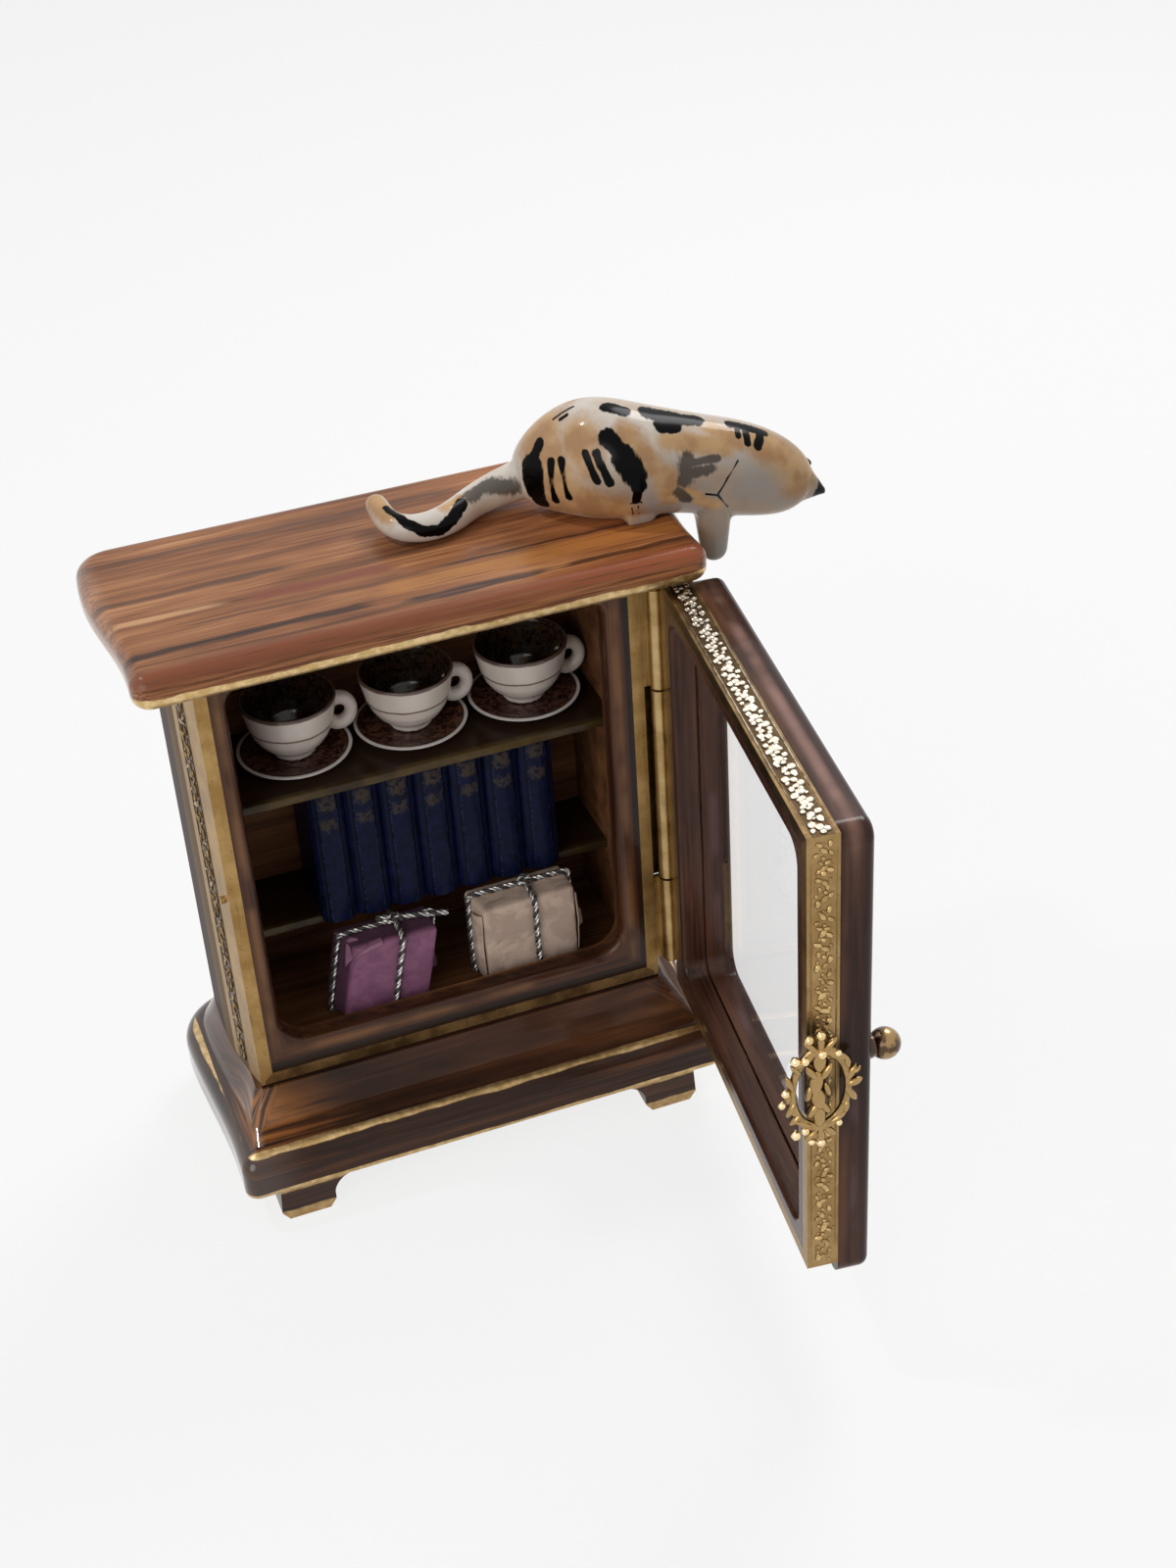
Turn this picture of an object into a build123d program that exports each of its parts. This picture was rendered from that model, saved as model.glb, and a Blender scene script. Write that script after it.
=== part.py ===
from build123d import *
import math
import os

os.makedirs("parts", exist_ok=True)

# Painted porcelain china cabinet in miniature, with gilt brass mounts.
# Millimetres, +Z up, front towards -Y, drawn about the middle of the base at floor level.
# The door is drawn shut and then swung open about its hinge. Last, the whole is moved so that
# the origin lies on the floor under the middle of its overall box, with the door open.

# Widths: the row of cups sets the cavity, and the case, opening, base and slab follow it
cup_count = 3
cup_pitch = 13.25
cup_left_room = 9.7
cup_right_room = 7.8
case_wall = 1.9
opening_side = 3.6
base_reach = 4.7
slab_reach = 6.3
cavity_width = cup_left_room + (cup_count - 1) * cup_pitch + cup_right_room
case_width = cavity_width + 2 * case_wall
opening_width = case_width - 2 * opening_side
base_width = case_width + 2 * base_reach
slab_width = case_width + 2 * slab_reach

# Base, feet and top slab
base_depth = 32.0
base_swell = 0.7
base_corner_radius = 1.6
base_back_radius = 7.0
foot_height = 4.4
foot_width = 5.9
foot_depth = 4.8
foot_inset_x = 3.7
foot_inset_y = 0.5
foot_wing = 3.0
moulding_height = 5.5
moulding_round = 2.1
cove_height = 3.4
cove_ledge = 0.7
cove_corner_radius = 1.2
cove_back_radius = 5.5
base_recess = 2.2
base_recess_wall = 3.4
base_recess_corner = 1.0
base_recess_back = 5.0
slab_depth = 29.0
slab_lip = 5.0
slab_swell = 1.0
slab_thickness = 3.9
slab_round = 1.6
slab_under_round = 1.4
slab_corner_radius = 2.0
slab_back_radius = 4.0

# Case
case_setback = 8.0
case_depth = 22.0
case_height = 54.1
case_flare = 1.3
case_swell = 0.2
case_back_radius = 5.5
opening_sill = 4.9
opening_head = 2.6
opening_height = case_height - opening_sill - opening_head
opening_shift = -0.4
opening_radius = 3.5
opening_top_radius = 2.0
lip_depth = 2.6
lip_round = 0.9
cavity_depth = 17.1
cavity_floor = 1.9
cavity_ceiling = 1.9

# Brass rims
rim_strip = 1.4
rim_thickness = 0.45
rim_flange = 7.0
rim_shelf = 1.5
rim_bottom_margin = 0.35
rim_top_margin = 0.4

# Door
door_clearance = 0.3
door_thickness = 6.6
door_band = 3.2
door_stile = 3.0
door_skirt = 2.2
door_corner_radius = 1.8
door_outer_round = 1.0
door_inner_round = 0.5
glass_thickness = 0.8
glass_inset = 2.6
glass_hold = 0.8
open_angle = 83.5

# Hinge
hinge_offset = 1.66
barrel_radius = 1.05
pin_radius = 0.4
pin_play = 0.08
pin_head_radius = 0.8
pin_head_height = 0.35
knuckle_low = 2.7
knuckle_split_low = 14.4
knuckle_split_high = 39.8
knuckle_head_room = 2.0
knuckle_high = case_height - knuckle_head_room
knuckle_gap = 0.3
leaf_thickness = 0.6
leaf_standoff = 0.15

# Knob, clasp and catch
knob_height = 25.9
knob_inset = 2.5
knob_radius = 1.6
knob_reach = 2.0
knob_collar_radius = 1.3
knob_neck_radius = 0.85
knob_peg_length = 1.2
clasp_height = 25.6
clasp_reach = 0.8
clasp_half_width = 3.2
clasp_half_height = 5.1
clasp_thickness = 0.7
clasp_standoff = 1.15
clasp_bar = 1.3
clasp_ring = 0.8
clasp_bead = 0.5
clasp_crown_width = 1.5
clasp_crown_height = 1.2
clasp_crown_reach = 0.5
clasp_wing_width = 0.7
clasp_wing_height = 1.5
clasp_wing_reach = 0.2
clasp_pad_width = 2.4
clasp_pad_height = 5.0
catch_radius = 0.4
catch_reach = 0.35
catch_setback = 1.6

# Shelves
upper_shelf_height = 33.9
upper_shelf_depth = 14.7
lower_shelf_height = 13.7
lower_shelf_depth = 9.8
shelf_thickness = 1.1

# Cups and saucers
cup_back_gap = 7.0
cup_radius = 5.35
cup_height = 7.1
cup_wall = 0.6
cup_foot_radius = 2.4
cup_foot_height = 0.5
cup_floor = 0.8
cup_handle_radius = 2.1
cup_handle_reach = 5.2
cup_handle_height = 3.6
cup_handle_thickness = 1.9
cup_handle_hole = 0.75
saucer_radius = 6.35
saucer_height = 1.3
saucer_thickness = 0.55
saucer_foot_radius = 3.2
saucer_well = 3.1

# Books
book_count = 7
book_width = 3.96
book_gap = 0.08
book_left_room = 9.4
book_depth = 9.6
book_height = 18.6
book_overhang = 2.0
book_spine_round = 0.9
book_board = 0.45
book_page_inset = 0.4

# Parcels and the cord that ties them
cord_radius = 0.33
beige_size = (11.1, 5.0, 10.3)
beige_place = (10.1, 4.0)
beige_turn = 1.5
beige_lean = 0.0
beige_splay = 0.8
beige_flap = 1.5
lilac_size = (9.8, 5.0, 9.7)
lilac_place = (-6.6, 4.1)
lilac_lean = 2.0
lilac_splay = 1.4
lilac_flap = 0.9
parcel_round = 0.45
cord_cross_setback = 3.1
cord_shift = 0.6
knot_radius = 0.62
cord_tail_length = 6.0

# Cat on the top slab
# x is counted from the slab's end, z from its top; then come the half width and half height
cat_edge_gap = 0.5
cat_sections = (
    (-15.2, 3.4, 4.4, 1.6, 1.8),
    (-14.0, 2.8, 4.7, 3.4, 3.6),
    (-11.8, 1.8, 5.4, 5.0, 5.1),
    (-8.6, 0.3, 6.0, 6.1, 6.3),
    (-4.7, -1.1, 5.9, 6.2, 6.3),
    (-0.2, -2.2, 5.1, 5.4, 5.7),
    (3.8, -3.4, 4.2, 5.1, 5.5),
    (7.3, -4.1, 3.4, 4.9, 5.2),
    (10.6, -4.5, 2.5, 4.6, 4.5),
    (13.0, -4.7, 2.0, 3.5, 3.1),
    (14.4, -4.8, 1.6, 1.6, 1.4),
)
cat_ears = ((12.9, -3.3, 2.4, 2.6), (13.0, -6.3, 0.7, 3.0))
cat_ear_radius = 1.5
cat_ear_tilt = 110.0
cat_tail_route = (
    (-13.0, 4.0, 4.0, 2.3),
    (-17.6, 4.9, 2.2, 1.9),
    (-21.8, 3.3, 1.6, 1.7),
    (-25.0, 1.9, 1.5, 1.6),
    (-27.9, 2.3, 1.6, 1.45),
    (-29.4, 4.4, 1.9, 1.35),
    (-29.7, 6.9, 2.5, 1.2),
)
cat_paw_place = (3.3, -5.3)
cat_paw_radius = 1.5
cat_paw_shoulder = 2.2
cat_paw_drop = 4.5
cat_foot_place = (-4.9, -4.6)
cat_foot_radius = 0.9
cat_foot_length = 2.4

# Worked-out places
base_top = foot_height + moulding_height + cove_height
case_front = -base_depth / 2 + case_setback
case_back = case_front + case_depth
case_top = base_top + case_height
slab_front = case_front - slab_lip
slab_back = slab_front + slab_depth
rim_bottom = base_top + rim_bottom_margin
rim_top = case_top - rim_top_margin
rim_height = rim_top - rim_bottom
rim_middle = (rim_top + rim_bottom) / 2
half_case = case_width / 2
half_inner = half_case - rim_strip
floor_z = base_top + cavity_floor
ceiling_z = case_top - cavity_ceiling
cavity_back = case_front + lip_depth + cavity_depth
slab_top = case_top + slab_thickness
door_inner = case_front - door_clearance
door_outer = door_inner - door_thickness
hinge_x = half_case + hinge_offset
hinge_y = case_front - door_clearance / 2


def save(shape, name):
    shape.label = name
    export_step(shape, f"parts/{name}.step")


def block(x0, x1, y0, y1, z0, z1):
    size = Box(x1 - x0, y1 - y0, z1 - z0)
    return Pos((x0 + x1) / 2, (y0 + y1) / 2, (z0 + z1) / 2) * size


def upright(z):
    # a vertical sketch plane parallel to the front, with its height counted from z
    return Plane(origin=(0, 0, z), x_dir=(1, 0, 0), z_dir=(0, -1, 0))


def serpentine(half_front, swell, y_front, y_back, front_radius, back_radius, z):
    # plan with a slight cove near the front of each side and a swell behind it
    depth = y_back - y_front
    front = Line((-half_front, y_front), (half_front, y_front))
    back = Line((half_front, y_back), (-half_front, y_back))
    right = Spline(
        (half_front, y_front),
        (half_front - swell * 0.15, y_front + depth * 0.2),
        (half_front + swell, y_front + depth * 0.62),
        (half_front, y_back),
        tangents=[(0, 1), (-0.28, 1)],
    )
    left = mirror(right, Plane.YZ)
    face = make_face([front, right, back, left])
    corners = face.vertices().sort_by(Axis.Y)
    face = fillet(corners[:2], front_radius)
    corners = [v for v in face.vertices() if abs(v.Y - y_back) < 0.01 and abs(v.X) > half_front - 0.01]
    return Pos(0, 0, z) * fillet(corners, back_radius)


def case_plan(inset, z):
    # canted sides behind the front corner, then a gentle swell to the rounded back
    front_x = half_case - inset
    knee_x = half_case + case_flare - inset
    knee_y = case_front + rim_flange
    cant = (knee_x - front_x) / rim_flange
    front = Line((-front_x, case_front), (front_x, case_front))
    flank = Line((front_x, case_front), (knee_x, knee_y))
    swell = Spline(
        (knee_x, knee_y),
        (knee_x + case_swell, (knee_y + case_back) / 2),
        (knee_x - case_swell, case_back),
        tangents=[(cant, 1), (-0.2, 1)],
    )
    back = Line((knee_x - case_swell, case_back), (case_swell - knee_x, case_back))
    left = [mirror(edge, Plane.YZ) for edge in (flank, swell)]
    face = make_face([front, flank, swell, back] + left)
    corners = [v for v in face.vertices() if abs(v.Y - case_back) < 0.01]
    return Pos(0, 0, z) * fillet(corners, case_back_radius)


# Base plinth: bullnose moulding below, cove above, shallow recess underneath
half_base = base_width / 2
moulding_plan = serpentine(
    half_base, base_swell, -base_depth / 2, base_depth / 2, base_corner_radius, base_back_radius, foot_height,
)
moulding = extrude(moulding_plan, moulding_height)
moulding = fillet(moulding.faces().sort_by(Axis.Z)[-1].edges(), moulding_round)
moulding = fillet(moulding.faces().sort_by(Axis.Z)[0].edges(), 0.6)
cove_low_z = foot_height + moulding_height
cove_side = base_reach - cove_ledge
cove_back = base_depth - case_setback - case_depth
# each step: share of the rise, and how far it has gone in at the sides, front and back
cove_steps = ((0.0, 0.52, 0.28, 0.75), (0.25, 0.62, 0.56, 0.85), (0.55, 0.78, 0.79, 0.95), (1.0, 1.0, 0.96, 1.0))


def cove_plan(rise, side, front, back):
    z = cove_low_z + cove_height * rise
    y_front = -base_depth / 2 + case_setback * front
    y_back = base_depth / 2 - cove_back * back
    return serpentine(
        half_base - cove_side * side, base_swell, y_front, y_back, cove_corner_radius, cove_back_radius, z,
    )


cove = loft([cove_plan(*step) for step in cove_steps], ruled=True)
recess_plan = serpentine(
    half_base - base_recess_wall, base_swell, base_recess_wall - base_depth / 2,
    base_depth / 2 - base_recess_wall, base_recess_corner, base_recess_back, foot_height,
)
base_plinth = moulding + cove - extrude(recess_plan, base_recess)


# Bracket feet: a toe that stands forward and a wing that runs up to the moulding
def bracket_foot(side, end):
    outer_x = half_base - foot_inset_x
    inner_x = outer_x - foot_width
    front = Polyline(
        (inner_x - foot_wing, foot_height),
        (outer_x, foot_height),
        (outer_x + 0.2, 1.1),
        (outer_x - 0.6, 0),
        (inner_x + 0.6, 0),
        (inner_x - 0.2, 1.1),
        (inner_x - 0.2, foot_height * 0.5),
    )
    wing = ThreePointArc(
        (inner_x - 0.2, foot_height * 0.5),
        (inner_x - 0.2 - foot_wing * 0.3, foot_height * 0.85),
        (inner_x - foot_wing, foot_height),
    )
    toe_y = -base_depth / 2 + foot_inset_y
    foot = extrude(upright(0) * make_face([front, wing]), foot_depth)
    foot = Pos(0, toe_y + foot_depth, 0) * foot
    if side < 0:
        foot = mirror(foot, Plane.YZ)
    if end > 0:
        foot = mirror(foot, Plane.XZ)
    return foot


feet = {
    "foot_front_left": bracket_foot(-1, -1),
    "foot_front_right": bracket_foot(1, -1),
    "foot_back_left": bracket_foot(-1, 1),
    "foot_back_right": bracket_foot(1, 1),
}


# Brass rim members of the case: canted side bands with a mitred strip on the front
def mitre(shape, side):
    # keeps what lies inside the 45 degree mitres of a member: side is left, right, top or bottom
    deep = case_depth
    half_rim = rim_height / 2
    if side in ("left", "right"):
        sign = 1 if side == "right" else -1
        edge = sign * half_case
        points = ((edge, rim_bottom), (edge, rim_top), (edge - sign * half_rim, rim_middle))
    else:
        sign = 1 if side == "top" else -1
        edge = rim_middle + sign * half_rim
        points = ((-half_case, edge), (half_case, edge), (0, edge - sign * half_case))
    wedge = make_face(Polyline(*points, close=True))
    cutter = extrude(upright(0) * wedge, 2 * deep)
    return shape & (Pos(0, case_front + deep, 0) * cutter)


def case_strip(side):
    y0, y1 = case_front, case_front + rim_thickness
    if side == "right":
        return block(half_inner, half_case, y0, y1, rim_bottom, rim_top)
    if side == "left":
        return block(-half_case, -half_inner, y0, y1, rim_bottom, rim_top)
    if side == "top":
        return block(-half_case, half_case, y0, y1, rim_top - rim_strip, rim_top)
    return block(-half_case, half_case, y0, y1, rim_bottom, rim_bottom + rim_strip)


def side_band(sign):
    knee_x = half_case + case_flare
    knee_y = case_front + rim_flange
    corners = (
        (sign * half_case, case_front),
        (sign * knee_x, knee_y),
        (sign * (knee_x - rim_thickness), knee_y),
        (sign * (half_case - rim_thickness), case_front),
    )
    section = make_face(Polyline(*corners, close=True))
    return Pos(0, 0, rim_bottom) * extrude(section, rim_height)


shelf_reach = half_case - rim_thickness
rim_shelf_low = block(
    -shelf_reach, shelf_reach, case_front + rim_thickness, case_front + rim_shelf,
    rim_bottom, rim_bottom + rim_thickness,
)
rim_shelf_high = Pos(0, 0, rim_height - rim_thickness) * rim_shelf_low
case_rims = {
    "case_rim_left": mitre(case_strip("left"), "left") + side_band(-1),
    "case_rim_right": mitre(case_strip("right"), "right") + side_band(1),
    "case_rim_top": mitre(case_strip("top"), "top") + rim_shelf_high - side_band(-1) - side_band(1),
    "case_rim_bottom": mitre(case_strip("bottom"), "bottom") + rim_shelf_low - side_band(-1) - side_band(1),
}

# Case shell: one porcelain wall round the cavity, with a thick rounded lip at the opening
outer_case = extrude(case_plan(0, base_top), case_height)
sill_z = base_top + opening_sill
opening_middle = sill_z + opening_height / 2
opening_face = Pos(opening_shift, opening_middle) * Rectangle(opening_width, opening_height)
opening_corners = opening_face.vertices().sort_by(Axis.Y)
opening_face = fillet(opening_corners[:2], opening_radius)
opening_face = fillet(opening_face.vertices().sort_by(Axis.Y)[-2:], opening_top_radius)
opening_cut = Pos(0, case_front + lip_depth + 1, 0) * extrude(upright(0) * opening_face, lip_depth + 2)
cavity = block(
    -cavity_width / 2, cavity_width / 2, case_front + lip_depth, cavity_back, floor_z, ceiling_z,
)
case_shell = outer_case - opening_cut
lip_edges = case_shell.faces().sort_by(Axis.Y)[0].inner_wires()[0].edges()
case_shell = fillet(lip_edges, lip_round) - cavity
for rim in case_rims.values():
    case_shell -= rim

# Top slab: serpentine board with rounded edges
slab_plan = serpentine(
    slab_width / 2, slab_swell, slab_front, slab_back, slab_corner_radius, slab_back_radius, case_top,
)
top_slab = extrude(slab_plan, slab_thickness)
top_slab = fillet(top_slab.faces().sort_by(Axis.Z)[-1].edges(), slab_round)
top_slab = fillet(top_slab.faces().sort_by(Axis.Z)[0].edges(), slab_under_round)

# Shelves fill the cavity from side wall to side wall and stand against its back
upper_top = base_top + upper_shelf_height
lower_top = base_top + lower_shelf_height
upper_shelf = block(
    -cavity_width / 2, cavity_width / 2, cavity_back - upper_shelf_depth, cavity_back,
    upper_top - shelf_thickness, upper_top,
)
lower_shelf = block(
    -cavity_width / 2, cavity_width / 2, cavity_back - lower_shelf_depth, cavity_back,
    lower_top - shelf_thickness, lower_top,
)
shelf_round = shelf_thickness * 0.3
upper_shelf = fillet(upper_shelf.edges().filter_by(Axis.X).group_by(Axis.Y)[0], shelf_round)
lower_shelf = fillet(lower_shelf.edges().filter_by(Axis.X).group_by(Axis.Y)[0], shelf_round)


# Cups and saucers, turned on their own axes
def turned(points):
    profile = make_face(Polyline(*points, close=True))
    return revolve(Plane.XZ * profile, Axis.Z)


cup_y = cavity_back - cup_back_gap
cup_first_x = cup_left_room - cavity_width / 2
saucer_seat = saucer_thickness + 0.15


def saucer():
    r, h, t = saucer_radius, saucer_height, saucer_thickness
    outline = [
        (0, 0.15), (saucer_foot_radius - 0.5, 0.15), (saucer_foot_radius - 0.4, 0), (saucer_foot_radius, 0),
        (saucer_foot_radius + 0.3, 0.2), (r * 0.8, h * 0.42), (r, h - 0.25), (r, h),
        (r * 0.84, h * 0.42 + t * 0.75), (saucer_well + 0.3, saucer_seat + 0.12), (saucer_well, saucer_seat),
        (0, saucer_seat),
    ]
    return turned(outline)


def cup():
    outer = [
        (cup_foot_radius, 0), (cup_foot_radius, cup_foot_height * 0.6),
        (cup_foot_radius - 0.1, cup_foot_height), (cup_radius * 0.74, cup_height * 0.28),
        (cup_radius * 0.88, cup_height * 0.52), (cup_radius * 0.95, cup_height * 0.78), (cup_radius, cup_height),
    ]
    inner = [(x - cup_wall, z) for x, z in outer[:2:-1]]
    profile = [(0, 0)] + outer + inner + [(cup_foot_radius - 0.4, cup_floor), (0, cup_floor)]
    bowl = turned(profile)
    ring = Cylinder(cup_handle_radius, cup_handle_thickness) - Cylinder(cup_handle_hole, cup_handle_thickness)
    ring = fillet(ring.edges().sort_by(SortBy.LENGTH)[-2:], 0.5)
    ring = Pos(cup_handle_reach + 0.2, 0, cup_handle_height) * Rot(90, 0, 0) * ring
    solid = turned([(0, 0)] + outer + [(0, cup_height)])
    return bowl + (ring - solid)


cups = {}
for index in range(cup_count):
    place = Pos(cup_first_x + index * cup_pitch, cup_y, upper_top)
    cups[f"saucer_{index + 1}"] = place * saucer()
    cups[f"cup_{index + 1}"] = place * Pos(0, 0, saucer_seat) * cup()


# Books: rounded spines, boards and a page block set back at head, tail and fore edge
book_front = cavity_back - lower_shelf_depth - book_overhang
book_left = book_left_room - cavity_width / 2


def book():
    half = book_width / 2
    spine_y = book_spine_round
    outline = [
        ThreePointArc((-half, spine_y), (0, 0), (half, spine_y)),
        Line((half, spine_y), (half, book_depth)),
        Line((half, book_depth), (-half, book_depth)),
        Line((-half, book_depth), (-half, spine_y)),
    ]
    cover = extrude(make_face(outline), book_height)
    inner = half - book_board
    gutter = spine_y + book_board
    bed = block(-inner, inner, gutter, book_depth, 0, book_height)
    pages = block(-inner, inner, gutter, book_depth - book_page_inset, book_page_inset, book_height - book_page_inset)
    return cover - bed + pages


books = {}
for index in range(book_count):
    x = book_left + book_width / 2 + index * (book_width + book_gap)
    books[f"book_{index + 1}"] = Pos(x, book_front, lower_top) * book()


# Parcels: wrapped boxes with folded ends, stood on the cavity floor just inside the lip
def wrapped_box(size, lean, splay, flap):
    length, depth, height = size
    plan = Polyline(
        (-length / 2, -depth / 2), (length / 2, -depth / 2), (length / 2, depth / 2),
        (-length / 2 - splay, depth / 2), close=True,
    )
    low = Pos(-lean / 2, 0, 0) * make_face(plan)
    high = Pos(lean / 2, 0, height) * make_face(plan)
    body = loft([low, high], ruled=True)
    body = fillet(body.edges(), parcel_round)
    root = Polyline((-depth * 0.3, height * 0.25), (depth * 0.3, height * 0.25), (0, height * 0.75), close=True)
    tip = Polyline((-depth * 0.12, height * 0.3), (depth * 0.12, height * 0.3), (0, height * 0.5), close=True)
    start = Plane(origin=(length / 2 - lean / 2 - parcel_round, 0, 0), x_dir=(0, 1, 0), z_dir=(1, 0, 0))
    end = Plane(origin=(length / 2 + flap, 0, 0), x_dir=(0, 1, 0), z_dir=(1, 0, 0))
    return body + loft([start * make_face(root), end * make_face(tip)], ruled=True)


def cord_loop(low_left, low_right, high_left, high_right, height, plane):
    # closed loop of cord lying in one plane, its inside touching the parcel
    low, high = -cord_radius, height + cord_radius
    corners = ((low_left, low), (low_right, low), (high_right, high), (high_left, high))
    path = plane * FilletPolyline(*corners, radius=cord_radius * 2.2, close=True)
    start = path.edges()[0]
    section = Plane(origin=start @ 0, z_dir=start % 0) * Circle(cord_radius)
    return sweep(section, path=path)


def parcel_cord(size, lean, splay, tail):
    length, depth, height = size
    cross_y = cord_cross_setback - depth / 2
    left = -length / 2 - splay * cord_cross_setback / depth - cord_radius
    right = length / 2 + cord_radius
    reach = depth / 2 + cord_radius
    over = cord_loop(-reach, reach, -reach, reach, height, Plane.YZ)
    tilt = math.degrees(math.atan2(lean, height))
    over = Pos(cord_shift, 0, height / 2) * Rot(0, tilt, 0) * Pos(0, 0, -height / 2) * over
    half = lean / 2
    around = cord_loop(left - half, right - half, left + half, right + half, height, Plane.XZ)
    cord = over + Pos(0, cross_y, 0) * around
    knot = (cord_shift + half, cross_y, height + cord_radius * 1.3)
    cord += Pos(*knot) * Sphere(knot_radius)
    if tail:
        run = Cylinder(cord_radius, cord_tail_length, align=(Align.CENTER, Align.CENTER, Align.MIN))
        end = Pos(0, 0, cord_tail_length) * Sphere(cord_radius * 1.15)
        cord += Plane(origin=knot, z_dir=(6.1, -1.6, 0.1)) * (run + end)
    return cord


def parcel_place(place, depth, turn):
    # under-cord thickness is left below each parcel, which rests on the cord
    x, front = place
    return Pos(x, case_front + front + depth / 2, floor_z + 2 * cord_radius) * Rot(0, 0, turn)


beige_spot = parcel_place(beige_place, beige_size[1], beige_turn)
lilac_spot = parcel_place(lilac_place, lilac_size[1], 0)
parcels = {
    "parcel_beige": beige_spot * wrapped_box(beige_size, beige_lean, beige_splay, beige_flap),
    "parcel_lilac": lilac_spot * wrapped_box(lilac_size, lilac_lean, lilac_splay, lilac_flap),
    "cord_beige": beige_spot * parcel_cord(beige_size, beige_lean, beige_splay, tail=False),
    "cord_lilac": lilac_spot * parcel_cord(lilac_size, lilac_lean, lilac_splay, tail=True),
}
parcels["parcel_beige"] -= parcels["cord_beige"]
parcels["parcel_lilac"] -= parcels["cord_lilac"]


# Cat: lofted body with its head and one paw over the right end of the slab
cat_x = slab_width / 2


def cat():
    slices = []
    for x, y, z, ry, rz in cat_sections:
        plane = Plane(origin=(cat_x + x, y, slab_top + z), x_dir=(0, 1, 0), z_dir=(1, 0, 0))
        slices.append(plane * Ellipse(ry, rz))
    figure = loft(slices)
    for ear_x, ear_y, ear_z, ear_length in cat_ears:
        ear = Cone(cat_ear_radius, 0.25, ear_length, align=(Align.CENTER, Align.CENTER, Align.MIN))
        figure += Pos(cat_x + ear_x, ear_y, slab_top + ear_z) * Rot(0, cat_ear_tilt, 0) * ear
    rings = []
    for index, (x, y, z, r) in enumerate(cat_tail_route):
        before = cat_tail_route[max(index - 1, 0)]
        after = cat_tail_route[min(index + 1, len(cat_tail_route) - 1)]
        run = Vector(after[0] - before[0], after[1] - before[1], after[2] - before[2])
        rings.append(Plane(origin=(cat_x + x, y, slab_top + z), z_dir=run) * Circle(r))
    figure += loft(rings)
    tip_x, tip_y, tip_z, tip_r = cat_tail_route[-1]
    figure += Pos(cat_x + tip_x, tip_y, slab_top + tip_z) * Sphere(tip_r)
    paw_x, paw_y = cat_paw_place
    leg = Pos(0, 0, -cat_paw_drop) * Cone(
        cat_paw_radius, cat_paw_shoulder, cat_paw_drop + cat_paw_radius,
        align=(Align.CENTER, Align.CENTER, Align.MIN),
    )
    leg += Pos(0, 0, -cat_paw_drop) * Sphere(cat_paw_radius)
    figure += Pos(cat_x + paw_x, paw_y, slab_top) * leg
    foot_x, foot_y = cat_foot_place
    toe = Pos(cat_foot_length / 2, 0, 0) * Sphere(cat_foot_radius)
    shank = Rot(0, 90, 0) * Cylinder(cat_foot_radius, cat_foot_length)
    figure += Pos(cat_x + foot_x, foot_y, slab_top + cat_foot_radius * 0.8) * (shank + toe)
    under = block(-slab_width, slab_width / 2 + slab_swell + cat_edge_gap, -slab_depth, slab_depth, 0, slab_top)
    return figure - under


cat_figure = cat()


# Door, drawn shut: porcelain frame, brass band, glass, knob, clasp and its hinge knuckle
def door_depth(v):
    # y of a plane v behind the inner face of the door
    return door_inner - v


def door_ring(v0, v1, drop, radius):
    height = rim_height + drop
    face = Pos(0, rim_middle - drop / 2) * RectangleRounded(case_width, height, radius)
    return Pos(0, door_depth(v0), 0) * extrude(upright(0) * face, v1 - v0)


window_width = case_width - 2 * door_stile
window_height = rim_height - 2 * door_stile


def window_block(v0, v1, growth):
    face = Pos(0, rim_middle) * RectangleRounded(
        window_width + 2 * growth, window_height + 2 * growth, opening_radius * 0.6,
    )
    return Pos(0, door_depth(v0), 0) * extrude(upright(0) * face, v1 - v0)


door_glass = window_block(glass_inset, glass_inset + glass_thickness, glass_hold)
inner_half = door_ring(0, door_band, 0, 0.3)
outer_half = door_ring(door_band, door_thickness, door_skirt, door_corner_radius)
outer_half = fillet(outer_half.faces().sort_by(Axis.Y)[0].edges(), door_outer_round)
door_frame = inner_half + outer_half - window_block(-1, door_thickness + 1, 0)
front_window = door_frame.faces().sort_by(Axis.Y)[0].inner_wires()[0].edges()
door_frame = fillet(front_window, door_inner_round)
back_window = door_frame.faces().sort_by(Axis.Y)[-1].inner_wires()[0].edges()
door_frame = fillet(back_window, door_inner_round) - door_glass


def door_member(side):
    y_strip = door_depth(rim_thickness)
    y_band = door_depth(door_band)
    if side in ("free", "hinge"):
        sign = -1 if side == "free" else 1
        x_out, x_in, x_lip = sign * half_case, sign * (half_case - rim_thickness), sign * half_inner
        band = block(min(x_out, x_in), max(x_out, x_in), y_band, door_inner, rim_bottom, rim_top)
        strip = block(min(x_out, x_lip), max(x_out, x_lip), y_strip, door_inner, rim_bottom, rim_top)
        return mitre(band + strip, "left" if side == "free" else "right")
    z_out = rim_top if side == "top" else rim_bottom
    sign = -1 if side == "top" else 1
    z_in, z_lip = z_out + sign * rim_thickness, z_out + sign * rim_strip
    band = block(-half_case, half_case, y_band, door_inner, min(z_out, z_in), max(z_out, z_in))
    strip = block(-half_case, half_case, y_strip, door_inner, min(z_out, z_lip), max(z_out, z_lip))
    return mitre(band + strip, side)


door_rims = {f"door_rim_{side}": door_member(side) for side in ("free", "hinge", "top", "bottom")}
for rim in door_rims.values():
    door_frame -= rim

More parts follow.
